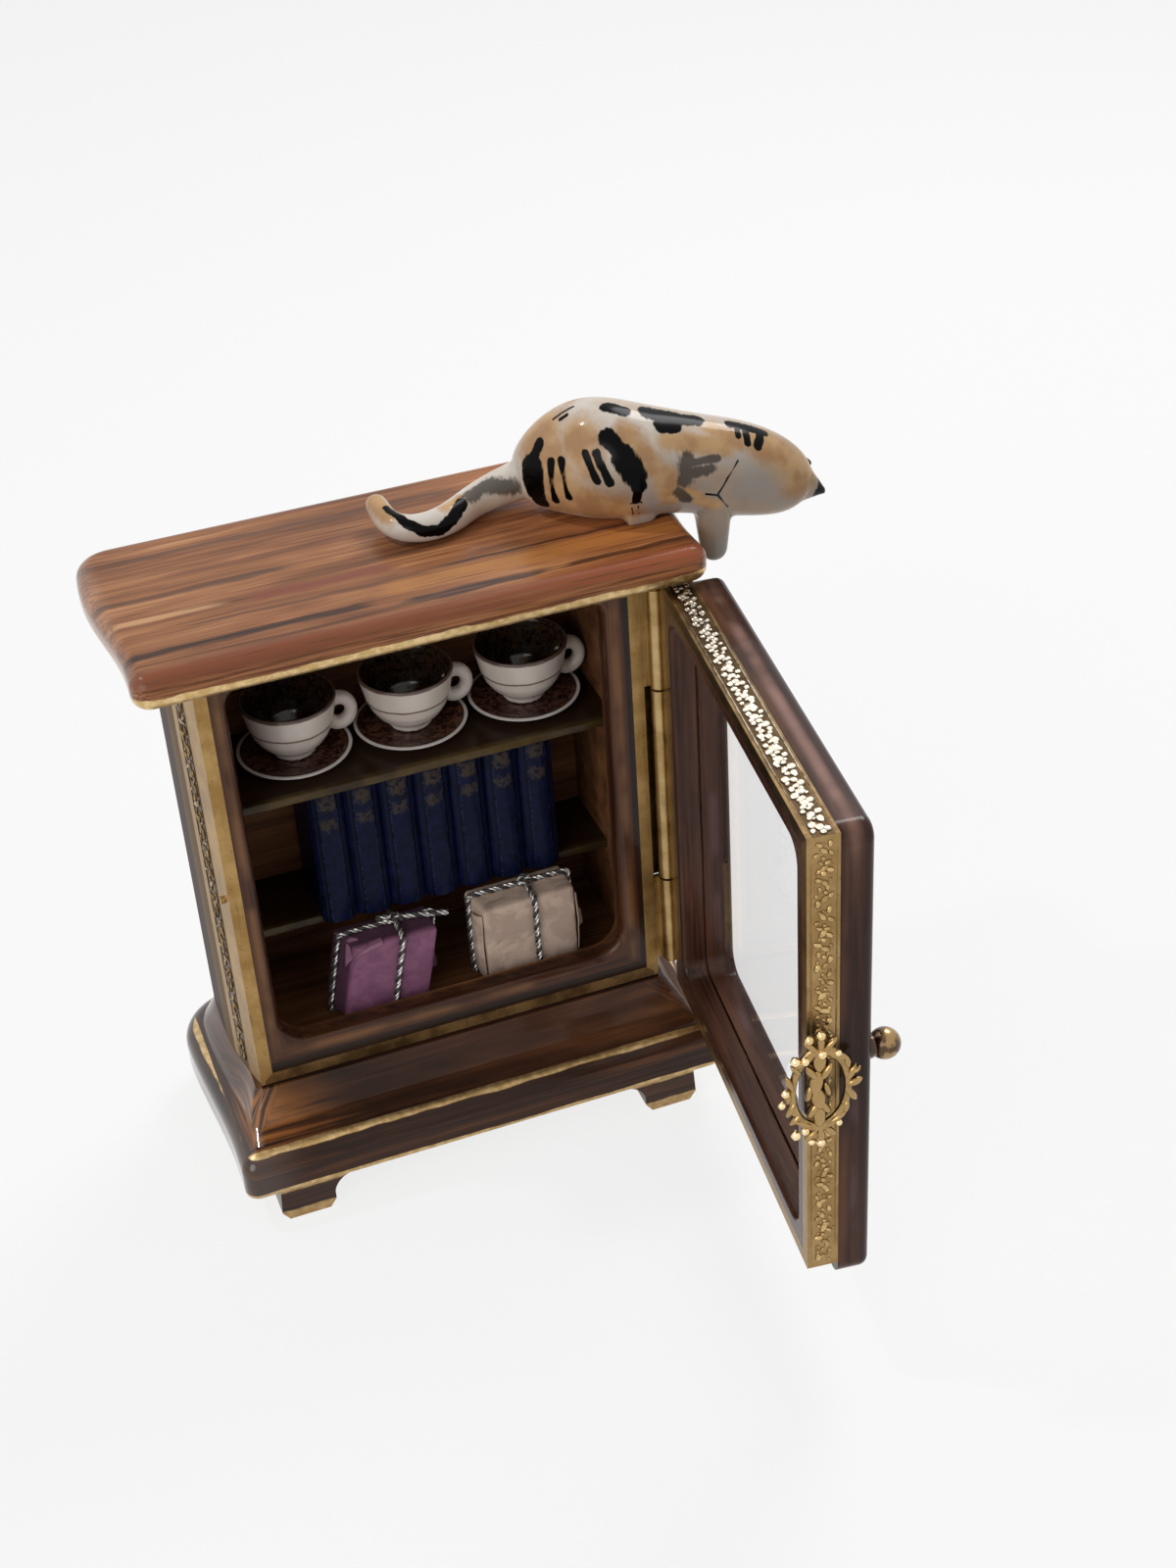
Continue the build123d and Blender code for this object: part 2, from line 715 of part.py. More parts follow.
# Knob on a short neck, pegged into the free stile of the door
knob_peg = Cylinder(knob_neck_radius * 0.7, knob_peg_length, align=(Align.CENTER, Align.CENTER, Align.MAX))
knob_stem = Cone(knob_collar_radius, knob_neck_radius, knob_reach, align=(Align.CENTER, Align.CENTER, Align.MIN))
knob_turned = knob_peg + knob_stem + Pos(0, 0, knob_reach) * Sphere(knob_radius)
knob_spot = Pos(knob_inset - half_case, door_outer, base_top + knob_height) * Rot(90, 0, 0)
door_knob = knob_spot * knob_turned
knob_hole = knob_spot * Pos(0, 0, -knob_peg_length / 2) * Cylinder(knob_neck_radius * 0.7, knob_peg_length)
door_frame -= knob_hole


# Clasp: a pierced wreath with beads, soldered to the free edge of the door by a pad.
# It is drawn flat, its width along the door's thickness, then stood against the edge.
def clasp_flat():
    # outline with its beads, which stand halfway over the edge
    w, h = clasp_half_width, clasp_half_height
    plate = Ellipse(w, h)
    for turn in (20, 50, 75, 105, 130, 160, 200, 230, 255, 285, 310, 340):
        angle = math.radians(turn)
        plate += Pos((w + 0.1) * math.cos(angle), (h + 0.1) * math.sin(angle)) * Circle(clasp_bead)
    hole_w = (w - clasp_ring - clasp_bar / 2) / 2
    hole_x = clasp_bar / 2 + hole_w
    for sign in (-1, 1):
        plate -= Pos(sign * hole_x, 0) * Ellipse(hole_w, h * 0.5)
    for sign in (-1, 1):
        plate += Pos(0, sign * (h + clasp_crown_reach)) * Ellipse(clasp_crown_width, clasp_crown_height)
        plate += Pos(sign * (w + clasp_wing_reach), 0) * Ellipse(clasp_wing_width, clasp_wing_height)
    return plate


def clasp_solid():
    pad = Pos(clasp_reach, 0, -clasp_standoff / 2) * Box(clasp_pad_width, clasp_pad_height, clasp_standoff)
    return extrude(clasp_flat(), clasp_thickness) + pad


clasp_plane = Plane(
    origin=(-half_case - clasp_standoff, door_depth(clasp_reach), base_top + clasp_height),
    x_dir=(0, -1, 0), z_dir=(-1, 0, 0),
)
clasp = clasp_plane * clasp_solid()

# Catch: a bead on the left band, which the open side of the wreath passes over
catch_y = case_front + catch_setback
catch_x = half_case + case_flare * catch_setback / rim_flange
catch_bead = Pos(-catch_x, catch_y, base_top + clasp_height) * Rot(0, -90, 0) * Cylinder(
    catch_radius, 2 * catch_reach,
)
catch_bead -= side_band(-1)
catch_bead -= outer_case


# Hinge: three knuckles on one pin, each with a leaf soldered to its rim
def knuckle(z0, z1, bore_radius, leaf_y):
    # a tube round the pin and a leaf that reaches from it to the rim
    middle = Pos(hinge_x, hinge_y, base_top + (z0 + z1) / 2)
    leaf = block(
        half_case, hinge_x - barrel_radius * 0.6, leaf_y, leaf_y + leaf_thickness, base_top + z0, base_top + z1,
    )
    return middle * Cylinder(barrel_radius, z1 - z0) + leaf - middle * Cylinder(bore_radius, z1 - z0)


def case_knuckle(z0, z1):
    # pressed on the pin
    return knuckle(z0, z1, pin_radius, case_front + leaf_standoff) - side_band(1)


def door_knuckle(z0, z1):
    # turns on the pin
    return knuckle(z0, z1, pin_radius + pin_play, door_inner - leaf_standoff - leaf_thickness)


hinge_knuckle_bottom = case_knuckle(knuckle_low, knuckle_split_low - knuckle_gap / 2)
hinge_knuckle_top = case_knuckle(knuckle_split_high + knuckle_gap / 2, knuckle_high)
hinge_knuckle_door = door_knuckle(knuckle_split_low + knuckle_gap / 2, knuckle_split_high - knuckle_gap / 2)
pin_length = knuckle_high - knuckle_low
hinge_pin = Pos(hinge_x, hinge_y, base_top + (knuckle_high + knuckle_low) / 2) * Cylinder(pin_radius, pin_length)
for z in (base_top + knuckle_low - pin_head_height / 2, base_top + knuckle_high + pin_head_height / 2):
    hinge_pin += Pos(hinge_x, hinge_y, z) * Cylinder(pin_head_radius, pin_head_height)

# The door and all it carries swing open about the pin
swing = Pos(hinge_x, hinge_y, 0) * Rot(0, 0, open_angle) * Pos(-hinge_x, -hinge_y, 0)

fixed_nodes = {
    "base_plinth": base_plinth,
    "case_shell": case_shell,
    "top_slab": top_slab,
    "cat_figure": cat_figure,
    "upper_shelf": upper_shelf,
    "lower_shelf": lower_shelf,
    "catch_bead": catch_bead,
    "hinge_knuckle_top": hinge_knuckle_top,
    "hinge_knuckle_bottom": hinge_knuckle_bottom,
    "hinge_pin": hinge_pin,
    **feet,
    **case_rims,
    **cups,
    **books,
    **parcels,
}
door_nodes = {
    "door_frame": door_frame,
    "door_glass": door_glass,
    "door_knob": door_knob,
    "door_clasp": clasp,
    "hinge_knuckle_door": hinge_knuckle_door,
    **door_rims,
}

# The origin goes under the middle of the overall box
nodes = fixed_nodes | {name: swing * shape for name, shape in door_nodes.items()}
boxes = [shape.bounding_box() for shape in nodes.values()]
middle_x = (min(b.min.X for b in boxes) + max(b.max.X for b in boxes)) / 2
middle_y = (min(b.min.Y for b in boxes) + max(b.max.Y for b in boxes)) / 2
for name, shape in nodes.items():
    save(Pos(-middle_x, -middle_y, 0) * shape, name)
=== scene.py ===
import math
import re

import bpy
from mathutils import Matrix, Vector


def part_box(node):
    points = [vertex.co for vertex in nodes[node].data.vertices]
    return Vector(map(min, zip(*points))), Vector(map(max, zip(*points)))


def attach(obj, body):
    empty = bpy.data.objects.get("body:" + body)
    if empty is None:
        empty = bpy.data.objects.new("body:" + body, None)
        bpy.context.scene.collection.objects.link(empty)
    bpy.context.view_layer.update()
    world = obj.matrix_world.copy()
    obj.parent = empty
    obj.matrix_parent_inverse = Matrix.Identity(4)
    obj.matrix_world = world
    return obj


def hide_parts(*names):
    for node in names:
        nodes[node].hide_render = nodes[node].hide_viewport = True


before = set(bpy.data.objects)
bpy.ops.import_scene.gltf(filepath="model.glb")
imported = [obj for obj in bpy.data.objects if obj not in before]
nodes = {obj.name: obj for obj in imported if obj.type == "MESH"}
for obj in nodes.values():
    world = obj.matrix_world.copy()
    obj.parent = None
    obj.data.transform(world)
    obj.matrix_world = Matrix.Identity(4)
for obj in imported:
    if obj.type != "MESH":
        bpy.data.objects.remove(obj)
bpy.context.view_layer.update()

# Painted porcelain china cabinet in miniature: its paint, gilding, mounts and contents.
# Places are in millimetres from the middle of the base at floor level, and are turned to
# metres in the row frame where an object is made.
MM = 0.001
home = sum(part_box("base_plinth"), Vector()) / (2 * MM)
home.z = 0


def box(name):
    """A node's lowest and highest corner, in millimetres from home."""
    low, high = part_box(name)
    return low / MM - home, high / MM - home


def metres(point):
    return (Vector(point) + home) * MM


def middle_of(name):
    low, high = box(name)
    return (low + high) / 2


base_low, base_high = box("base_plinth")
case_low = box("case_shell")[0]
slab_low, slab_high = box("top_slab")
book_low = box("book_1")[0]
hinge = middle_of("hinge_pin")
hinge.z = 0

# The door's own directions: out from the hinge, and through its thickness from the inner face
open_angle = math.radians(83.5)
door_out = Vector((-math.cos(open_angle), -math.sin(open_angle), 0))
door_through = Vector((math.sin(open_angle), -math.cos(open_angle), 0))
door_gap = 0.15
door_near = 1.66
door_far = 49.46
door_thickness = 6.6
door_stile = 3.0
rim_low = 13.65
rim_high = 67.0
door_middle = (door_near + door_far) / 2
rim_middle = (rim_low + rim_high) / 2


def door_point(out, through, z):
    """A point on the door, from its distances from the hinge and behind its inner face."""
    start = hinge + Vector((0, 0, z)) + door_through * door_gap
    return start + door_out * out + door_through * through


def link_new(name, data):
    """A new object in the scene."""
    piece = bpy.data.objects.new(name, data)
    bpy.context.scene.collection.objects.link(piece)
    return piece


def turned(place, axes):
    """The matrix of something that stands at a place in millimetres and lies along three axes."""
    turn = Matrix([[axis[row] for axis in axes] for row in range(3)]).to_4x4()
    return Matrix.Translation(metres(place)) @ turn


# Camera, as solved from the photograph's straight edges and corners
camera_place = (-49.54, -207.80, 188.49)
camera_right = (0.93484, -0.35074, -0.05529)
camera_down = (-0.24278, -0.51778, -0.82034)
camera_ahead = (0.25910, 0.78031, -0.56919)
camera_lens = 53.83


def add_camera():
    data = bpy.data.cameras.new("camera")
    data.sensor_width = 36
    data.lens = camera_lens
    data.clip_start = 0.01
    data.clip_end = 20
    camera = link_new("camera", data)
    axes = (Vector(camera_right), -Vector(camera_down), -Vector(camera_ahead))
    camera.matrix_world = turned(camera_place, axes)
    bpy.context.scene.camera = camera


def add_lamp(name, place, target, size, watts):
    data = bpy.data.lights.new(name, "AREA")
    data.shape = "DISK"
    data.size = size * MM
    data.energy = watts
    lamp = link_new(name, data)
    lamp.location = metres(place)
    lamp.rotation_euler = (Vector(target) - Vector(place)).to_track_quat("-Z", "Y").to_euler()


# Shader arithmetic
class Value:
    """A shader socket that takes part in arithmetic, adding the Math node each operation needs."""

    def __init__(self, tree, socket):
        self.tree = tree
        self.socket = socket

    def math(self, operation, *others):
        step = self.tree.nodes.new("ShaderNodeMath")
        step.operation = operation
        for slot, item in zip(step.inputs, (self, *others)):
            plug(self.tree, slot, item)
        return Value(self.tree, step.outputs[0])

    def __add__(self, other):
        return self.math("ADD", other)

    def __sub__(self, other):
        return self.math("SUBTRACT", other)

    def __rsub__(self, other):
        return self.math("MULTIPLY", -1.0).math("ADD", other)

    def __mul__(self, other):
        return self.math("MULTIPLY", other)

    def __truediv__(self, other):
        return self.math("DIVIDE", other)

    def __pow__(self, other):
        return self.math("POWER", other)

    def __abs__(self):
        return self.math("ABSOLUTE")

    __radd__ = __add__
    __rmul__ = __mul__

    def most(self, other):
        return self.math("MAXIMUM", other)

    def least(self, other):
        return self.math("MINIMUM", other)

    def rise(self, low, high):
        """0 below low and 1 above high, smooth in between."""
        share = ((self - low) / (high - low)).most(0.0).least(1.0)
        return share * share * (3.0 - 2.0 * share)

    def fall(self, low, high):
        return 1.0 - self.rise(low, high)

    def band(self, low, high, soft):
        """1 between low and high, with soft edges."""
        return self.rise(low - soft, low + soft) * self.fall(high - soft, high + soft)


def plug(tree, slot, item):
    """Links a socket value into a slot, or sets a plain number or colour on it."""
    if isinstance(item, Value):
        tree.links.new(item.socket, slot)
    elif hasattr(item, "__len__") and len(item) == 3 and slot.type == "RGBA":
        slot.default_value = (*item, 1.0)
    else:
        slot.default_value = item


class Finish:
    """A material being mixed: its shader, and one way to add each kind of node."""

    def __init__(self, name, fixed=None):
        self.material = bpy.data.materials.new(name)
        self.material.use_nodes = True
        self.tree = self.material.node_tree
        self.tree.nodes.clear()
        self.shader = self.tree.nodes.new("ShaderNodeBsdfPrincipled")
        self.output = self.tree.nodes.new("ShaderNodeOutputMaterial")
        self.tree.links.new(self.shader.outputs[0], self.output.inputs[0])
        self.set(fixed or {})
        self.spot = self.place()
        self.x, self.y, self.z = (self.along(axis) for axis in ((1, 0, 0), (0, 1, 0), (0, 0, 1)))

    def set(self, values):
        for name, item in values.items():
            plug(self.tree, self.shader.inputs[name], item)

    def node(self, kind, settings=None, inputs=None, output=0):
        made = self.tree.nodes.new("ShaderNode" + kind)
        for name, item in (settings or {}).items():
            if name == "stops":
                fill_ramp(made.color_ramp, item)
            else:
                setattr(made, name, item)
        for name, item in (inputs or {}).items():
            plug(self.tree, made.inputs[name], item)
        return Value(self.tree, made.outputs[output])

    def vector_math(self, operation, first, second, output=0):
        return self.node("VectorMath", {"operation": operation}, {0: first, 1: second}, output)

    def place(self):
        """The point on the piece, in millimetres from home."""
        spot = self.node("TexCoord", output="Object")
        grown = self.node("VectorMath", {"operation": "SCALE"}, {0: spot, "Scale": 1 / MM})
        return self.vector_math("SUBTRACT", grown, home)

    def along(self, direction, start=(0, 0, 0)):
        """How far the point lies along a direction from a start point."""
        level = Vector(direction).dot(Vector(start))
        return self.vector_math("DOT_PRODUCT", self.spot, direction, "Value") - level

    def vector(self, x, y, z):
        return self.node("CombineXYZ", inputs={0: x, 1: y, 2: z})

    def noise(self, scale, detail=3.0, roughness=0.5, distortion=0.0, spot=None):
        inputs = {"Vector": spot or self.spot, "Scale": scale, "Detail": detail}
        inputs.update({"Roughness": roughness, "Distortion": distortion})
        return self.node("TexNoise", inputs=inputs)

    def grain(self, x, y, z, detail=3.0, roughness=0.6, distortion=0.0):
        """Noise over three values, drawn out where a value changes slowly."""
        return self.noise(1.0, detail, roughness, distortion, self.vector(x, y, z))

    def mix(self, factor, first, second, blend="MIX"):
        settings = {"data_type": "RGBA", "blend_type": blend}
        return self.node("Mix", settings, {0: factor, 6: first, 7: second}, 2)

    def over(self, colour, *layers):
        """Colours laid one after another over the first, each where its mask is 1."""
        for mask, laid in layers:
            colour = self.mix(mask, colour, laid)
        return colour

    def ramp(self, factor, stops):
        return self.node("ValToRGB", {"stops": stops}, {0: factor})

    def bump(self, height, depth, strength=1.0):
        inputs = {"Height": height, "Distance": depth * MM, "Strength": strength}
        self.set({"Normal": self.node("Bump", inputs=inputs)})

    def reach(self, start, end):
        """How far the point is from the line between two points."""
        run = Vector(end) - Vector(start)
        gone = self.vector_math("SUBTRACT", self.spot, Vector(start))
        along = self.vector_math("DOT_PRODUCT", gone, run / run.length_squared, "Value")
        share = along.most(0.0).least(1.0)
        step = self.node("VectorMath", {"operation": "SCALE"}, {0: run, "Scale": share})
        away = self.vector_math("SUBTRACT", gone, step)
        return self.node("VectorMath", {"operation": "LENGTH"}, {0: away}, "Value")


def fill_ramp(ramp, stops):
    while len(ramp.elements) < len(stops):
        ramp.elements.new(0.5)
    for element, (position, colour) in zip(ramp.elements, stops):
        element.position = position
        element.color = (*colour, 1.0)


# Colours, as linear light
GILT = (0.33, 0.205, 0.078)
GILT_PALE = (0.48, 0.32, 0.145)
GILT_DARK = (0.050, 0.028, 0.011)
SOOT = (0.0045, 0.0038, 0.0042)
SLAB_STOPS = (
    (0.25, (0.040, 0.017, 0.009)),
    (0.38, (0.120, 0.045, 0.020)),
    (0.47, (0.225, 0.085, 0.034)),
    (0.57, (0.340, 0.142, 0.058)),
    (0.72, (0.540, 0.270, 0.125)),
)
LIP_STOPS = (
    (0.25, (0.014, 0.005, 0.003)),
    (0.42, (0.040, 0.013, 0.006)),
    (0.58, (0.085, 0.031, 0.012)),
    (0.80, (0.210, 0.090, 0.036)),
)
INSIDE_STOPS = (
    (0.25, (0.034, 0.013, 0.006)),
    (0.45, (0.115, 0.046, 0.019)),
    (0.62, (0.205, 0.090, 0.036)),
    (0.80, (0.320, 0.160, 0.064)),
)
BASE_STOPS = (
    (0.24, (0.008, 0.004, 0.003)),
    (0.42, (0.028, 0.012, 0.007)),
    (0.56, (0.068, 0.026, 0.013)),
    (0.70, (0.150, 0.060, 0.022)),
    (0.84, (0.340, 0.150, 0.050)),
)
DOOR_STOPS = (
    (0.24, (0.012, 0.005, 0.004)),
    (0.42, (0.036, 0.014, 0.009)),
    (0.58, (0.085, 0.036, 0.022)),
    (0.80, (0.190, 0.090, 0.055)),
)


def glaze(name, coat=0.12, specular=0.12):
    fixed = {"Coat Weight": coat, "Coat Roughness": 0.04, "Specular IOR Level": specular, "Roughness": 0.30}
    return Finish(name, fixed)


def brushed_wood(finish, run, across, depth, stops, seed):
    """The colour of long brush streaks that run one way and change quickly across it."""
    broad = finish.grain(run * 0.040, across * 0.36, depth * 0.36 + seed, 3.0, 0.55, 0.35)
    fine = finish.grain(run * 0.060, across * 2.6, depth * 2.6 + seed, 2.5)
    return finish.ramp(broad * 0.66 + fine * 0.36, stops)


def stroke(run, across, centre, start, end, half, wobble):
    """A brush stroke that follows the streaks from start to end, with ragged ends."""
    line = abs(across - centre - wobble)
    return line.fall(half * 0.45, half * 1.25) * (run + wobble * 4.0).band(start, end, 1.6)


def add_gilt(finish, under, mask, tint=GILT, pale=GILT_PALE):
    """Gilding over the paint where the mask is 1."""
    wear = finish.noise(1.1, 4.0, 0.6)
    gold = finish.mix(wear.rise(0.35, 0.68), tint, pale)
    finish.set({"Base Color": finish.mix(mask, under, gold), "Metallic": mask * 0.92})
    finish.set({"Roughness": 0.30 + mask * (wear * 0.16)})


# Brush strokes on the slab: centre across it, start, end, half width, colour
slab_strokes = (
    (-8.3, -31.0, -5.0, 0.62, (0.030, 0.015, 0.011)),
    (-9.7, -1.5, 13.5, 0.75, (0.036, 0.024, 0.024)),
    (-9.6, 14.5, 31.0, 0.55, (0.050, 0.020, 0.012)),
    (2.7, -31.0, -10.5, 0.55, (0.105, 0.048, 0.026)),
    (11.3, -26.0, 10.0, 0.55, (0.140, 0.062, 0.034)),
    (6.4, -22.0, -2.0, 0.30, (0.230, 0.085, 0.044)),
    (-1.9, -16.0, -1.0, 0.95, (0.215, 0.062, 0.034)),
    (-4.2, 4.0, 31.0, 0.26, (0.050, 0.022, 0.012)),
    (-4.6, -22.0, 2.0, 0.30, (0.150, 0.062, 0.030)),
    (-1.6, -30.0, -19.0, 0.60, (0.560, 0.310, 0.150)),
    (-6.4, -3.0, 31.0, 1.70, (0.420, 0.180, 0.055)),
    (-12.2, -31.0, 31.0, 1.20, (0.230, 0.072, 0.036)),
)


# The slab's gold line above its lower edge, and where its two ends begin to round off
slab_line = 1.90
slab_round = (28.6, 30.4)


def slab_glaze():
    finish = glaze("slab_painted_wood")
    x, y, z = finish.x, finish.y, finish.z
    wood = brushed_wood(finish, x, y, z, SLAB_STOPS, 3.0)
    wobble = finish.grain(x * 0.16, y * 0.5, 0.0, 2.0, 0.5) - 0.5
    grain = finish.grain(x * 0.10, y * 3.4, z * 3.4)
    for centre, start, end, half, colour in slab_strokes:
        mark = stroke(x, y, centre, start, end, half, wobble)
        wood = finish.mix(mark * grain.rise(0.26, 0.52) * 0.92, wood, colour)
    wood = finish.mix(x.rise(4.0, 26.0) * 0.9, wood, (1.60, 1.40, 1.15), "MULTIPLY")
    edge_wood = finish.mix(grain.rise(0.35, 0.65), (0.130, 0.045, 0.020), (0.440, 0.185, 0.075))
    wood = finish.over(
        wood,
        (grain.fall(0.34, 0.46) * 0.45, (0.060, 0.026, 0.015)),
        ((z - slab_high.z).fall(-1.5, -0.7) * 0.85, edge_wood),
    )
    line = (z - slab_low.z + finish.noise(0.35, 3.0) * 0.9).fall(slab_line, slab_line + 0.15)
    add_gilt(finish, wood, line, (0.60, 0.40, 0.16), (0.86, 0.64, 0.34))
    finish.set({"Coat Weight": 0.12 + abs(x).rise(*slab_round) * 0.7})
    return finish.material


# The case's front opening and the cavity behind it: half sizes, middles and depth
opening_half = (20.3, 23.3)
opening_x = -0.4
opening_z = 41.5
cavity_half = (22.3, 25.5)
cavity_z = 40.3
cavity_depth = (-5.7, 12.6)
# Where the case's flat front and its outer sides lie
case_front = -7.0
case_side = 23.8


def case_glaze():
    finish = glaze("case_painted_wood")
    x, y, z = finish.x, finish.y, finish.z
    side = (abs(x - opening_x) - opening_half[0]).most(abs(z - opening_z) - opening_half[1])
    lip = brushed_wood(finish, x + z, side * 1.6, y, LIP_STOPS, 1.0)
    outer = brushed_wood(finish, z, x + y, y, BASE_STOPS, 9.0)
    inner = brushed_wood(finish, x, z, y * 1.2, INSIDE_STOPS, 5.0)
    front = y.fall(case_front, case_front + 0.4)
    cavity = (abs(x) / cavity_half[0]).most(abs(z - cavity_z) / cavity_half[1])
    within = cavity.fall(0.995, 1.003) * y.band(*cavity_depth, 0.4)
    # Painted highlight: a warm light streak along the middle of the lip's rounded ridge.
    lip_ridge_highlight = side.band(0.6, 1.4, 0.45) * finish.noise(0.14, 2.0).rise(0.32, 0.62) * front
    side_edge = abs(x).rise(case_side, case_side + 0.4) * y.fall(2.0, 3.0)
    wood = finish.over(
        outer,
        (front, lip),
        (lip_ridge_highlight * 0.7, (0.250, 0.115, 0.046)),
        (side.rise(1.70, 2.10) * front * 0.85, (0.012, 0.005, 0.003)),
        (abs(x).rise(case_side - 0.8, case_side + 0.2) * 0.75, (0.020, 0.009, 0.006)),
        (side_edge * 0.7, (0.170, 0.104, 0.044)),
        (within, inner),
    )
    finish.set({"Base Color": wood, "Roughness": 0.52 - front * 0.26, "Coat Weight": front * 0.25})
    return finish.material


# Heights on the base: gold line at its foot, dark groove, gold line on its upper edge
base_foot_line = 0.75
base_groove = (2.6, 3.3)
base_edge_line = 5.5


def base_glaze():
    finish = glaze("base_painted_wood")
    x, y, z = finish.x, finish.y, finish.z
    height = z - base_low.z
    inset = (abs(x) - base_high.x).most(abs(y) - base_high.y)
    run = x + y
    wood = brushed_wood(finish, run, z * 1.5 + inset * 0.9, inset * 0.2, BASE_STOPS, 2.4)
    # Painted light: the front-left corner of the base turns amber, more so further left, as where light
    # falls on it.
    corner_light_tone = finish.noise(0.12, 2.0) + (x + 6.0) * -0.012
    corner = (x + 0.8 * y).fall(-37.0, -22.0) * height.rise(4.8, 6.0)
    amber = finish.mix(corner_light_tone.rise(0.45, 0.75), (0.30, 0.10, 0.026), (0.56, 0.22, 0.055))
    grain = finish.grain(run * 0.05, z * 2.2 + inset * 2.2, 0.0)
    dark = (height + inset * 0.3).band(*base_groove, 0.4) * grain.rise(0.3, 0.6)
    wood = finish.over(
        wood,
        (corner * grain.rise(0.40, 0.62) * 0.8, amber),
        (dark * 0.8, (0.016, 0.007, 0.005)),
    )
    ragged = finish.noise(0.16, 2.0) * 1.2 - 0.6
    foot_line = (height + ragged * 0.5).fall(base_foot_line, base_foot_line + 0.10)
    edge_line = (height - base_edge_line + ragged * 0.4).band(-0.32, 0.20, 0.05)
    edge_line = edge_line * (inset + ragged * 0.4).rise(-1.9, -1.75)
    lines = foot_line.most(edge_line) * inset.rise(-3.2, -2.9)
    add_gilt(finish, wood, lines, (0.42, 0.27, 0.105), (0.66, 0.46, 0.22))
    finish.set({"Coat Weight": 0.15 + x.fall(-27.0, -21.0) * 0.8})
    return finish.material


# Heights on a foot: its gilt toe ends at the first, its gilt wing starts at the second
foot_toe = 1.35
foot_wing = 3.75


def foot_glaze():
    finish = glaze("foot_painted_wood", 0.3)
    wood = brushed_wood(finish, finish.x, finish.z, finish.y, BASE_STOPS, 7.0)
    ragged = finish.noise(0.6, 2.0) * 0.5
    toe = (finish.z + ragged).fall(foot_toe, foot_toe + 0.25)
    wing = (finish.z - ragged * 0.6).rise(foot_wing, foot_wing + 0.25)
    add_gilt(finish, wood, toe.most(wing))
    return finish.material


def door_fields(finish):
    """Distances out from the hinge and through the door, and how far from the window's edge."""
    out = finish.along(door_out, hinge)
    through = finish.along(door_through, hinge) - door_gap
    half_width = (door_far - door_near) / 2 - door_stile
    half_height = (rim_high - rim_low) / 2 - door_stile
    frame_edge = (abs(out - door_middle) - half_width).most(abs(finish.z - rim_middle) - half_height)
    return out, through, frame_edge


def door_glaze():
    finish = glaze("door_painted_wood", 0.12)
    out, through, frame_edge = door_fields(finish)
    wood = brushed_wood(finish, finish.z + out, frame_edge * 1.5, through * 1.3, DOOR_STOPS, 4.0)
    stripes = brushed_wood(finish, finish.z + out, through * 1.1, frame_edge * 0.6, DOOR_STOPS, 8.0)
    # Painted highlight: faint lilac patches along the door's outer moulding.
    lilac = through.band(4.3, 5.1, 0.4) * finish.noise(0.10, 2.0).rise(0.46, 0.62)
    amber = through.band(3.4, 4.0, 0.5) * finish.noise(0.07, 2.0).rise(0.44, 0.66)
    cloud = finish.noise(0.09, 3.0)
    # Painted highlight: a pinkish light band along the outer moulding of the door's top member.
    head = finish.z.rise(62.0, 66.0) * through.band(4.1, 5.2, 0.5) * cloud.rise(0.30, 0.60)
    tinted = finish.over(
        wood,
        (through.rise(3.3, 3.8), stripes),
        (lilac * 0.35, (0.20, 0.12, 0.13)),
        (amber * 0.45, (0.22, 0.085, 0.035)),
        (head * 0.75, (0.360, 0.205, 0.165)),
        (through.rise(5.0, 6.0) * 0.75, (0.030, 0.011, 0.009)),
    )
    finish.set({"Base Color": tinted, "Roughness": 0.24})
    return finish.material


def brass(name, tint=GILT, pale=GILT_PALE, rough=0.30, hollow=None):
    """Gilt brass with soft clouding, fine scratches and a dark patina where hollow is 1."""
    finish = Finish(name, {"Metallic": 1.0})
    cloud = finish.noise(0.30, 4.0, 0.6)
    long_spot = finish.vector(finish.x * 1.2 + finish.y * 1.2, finish.y * 0.9, finish.z * 0.14)
    scratch = finish.noise(1.8, 2.0, 0.5, 0.0, long_spot)
    speck = finish.noise(3.2, 2.0)
    colour = finish.over(
        finish.mix(cloud.rise(0.32, 0.68), tint, pale),
        (speck.rise(0.66, 0.74) * 0.55, GILT_DARK),
        (scratch.rise(0.58, 0.72) * 0.25, GILT_DARK),
    )
    if hollow:
        colour = finish.mix(hollow(finish) * 0.85, colour, GILT_DARK)
    finish.set({"Base Color": colour, "Roughness": rough + cloud * 0.14})
    finish.bump(scratch + speck * 0.6, 0.035, 0.5)
    return finish.material


# The case's gilt side bands: how deep they are, how far they spread, and where they start
flange_depth = 7.0
flange_spread = 1.3
flange_front = 23.9
flange_slant = math.hypot(flange_depth, flange_spread)

# The sunk grounds of the chased bands, through the door and back from the case's front
door_ground = (0.55, 2.75)
side_ground = (3.25, 5.85)


def door_hollow(finish):
    """The sunk ground of the chased bands round the door's edge."""
    out, through, frame_edge = door_fields(finish)
    return through.band(*door_ground, 0.12) * frame_edge.rise(door_stile - 0.3, door_stile - 0.1)


def flange_hollow(finish):
    """The sunk ground of the side bands, and the dark joint between the case and its knuckles."""
    outside = abs(finish.x).rise(flange_front - 0.3, flange_front + 0.1)
    ground = (finish.y - case_low.y).band(*side_ground, 0.12) * outside
    in_front = finish.y.fall(case_front + 0.1, case_front + 0.3)
    joint = finish.x.band(flange_front, flange_front + 0.85, 0.06) * in_front
    return ground.most(joint)


def clasp_relief(finish):
    """How far the clasp's metal stands off its back, in millimetres."""
    return door_fields(finish)[0] - (clasp_out - clasp_depth)


def hinge_end_shade(finish):
    """Painted shade that darkens the door's top band towards the hinge."""
    return door_fields(finish)[0].fall(3.0, 26.0) * 0.75


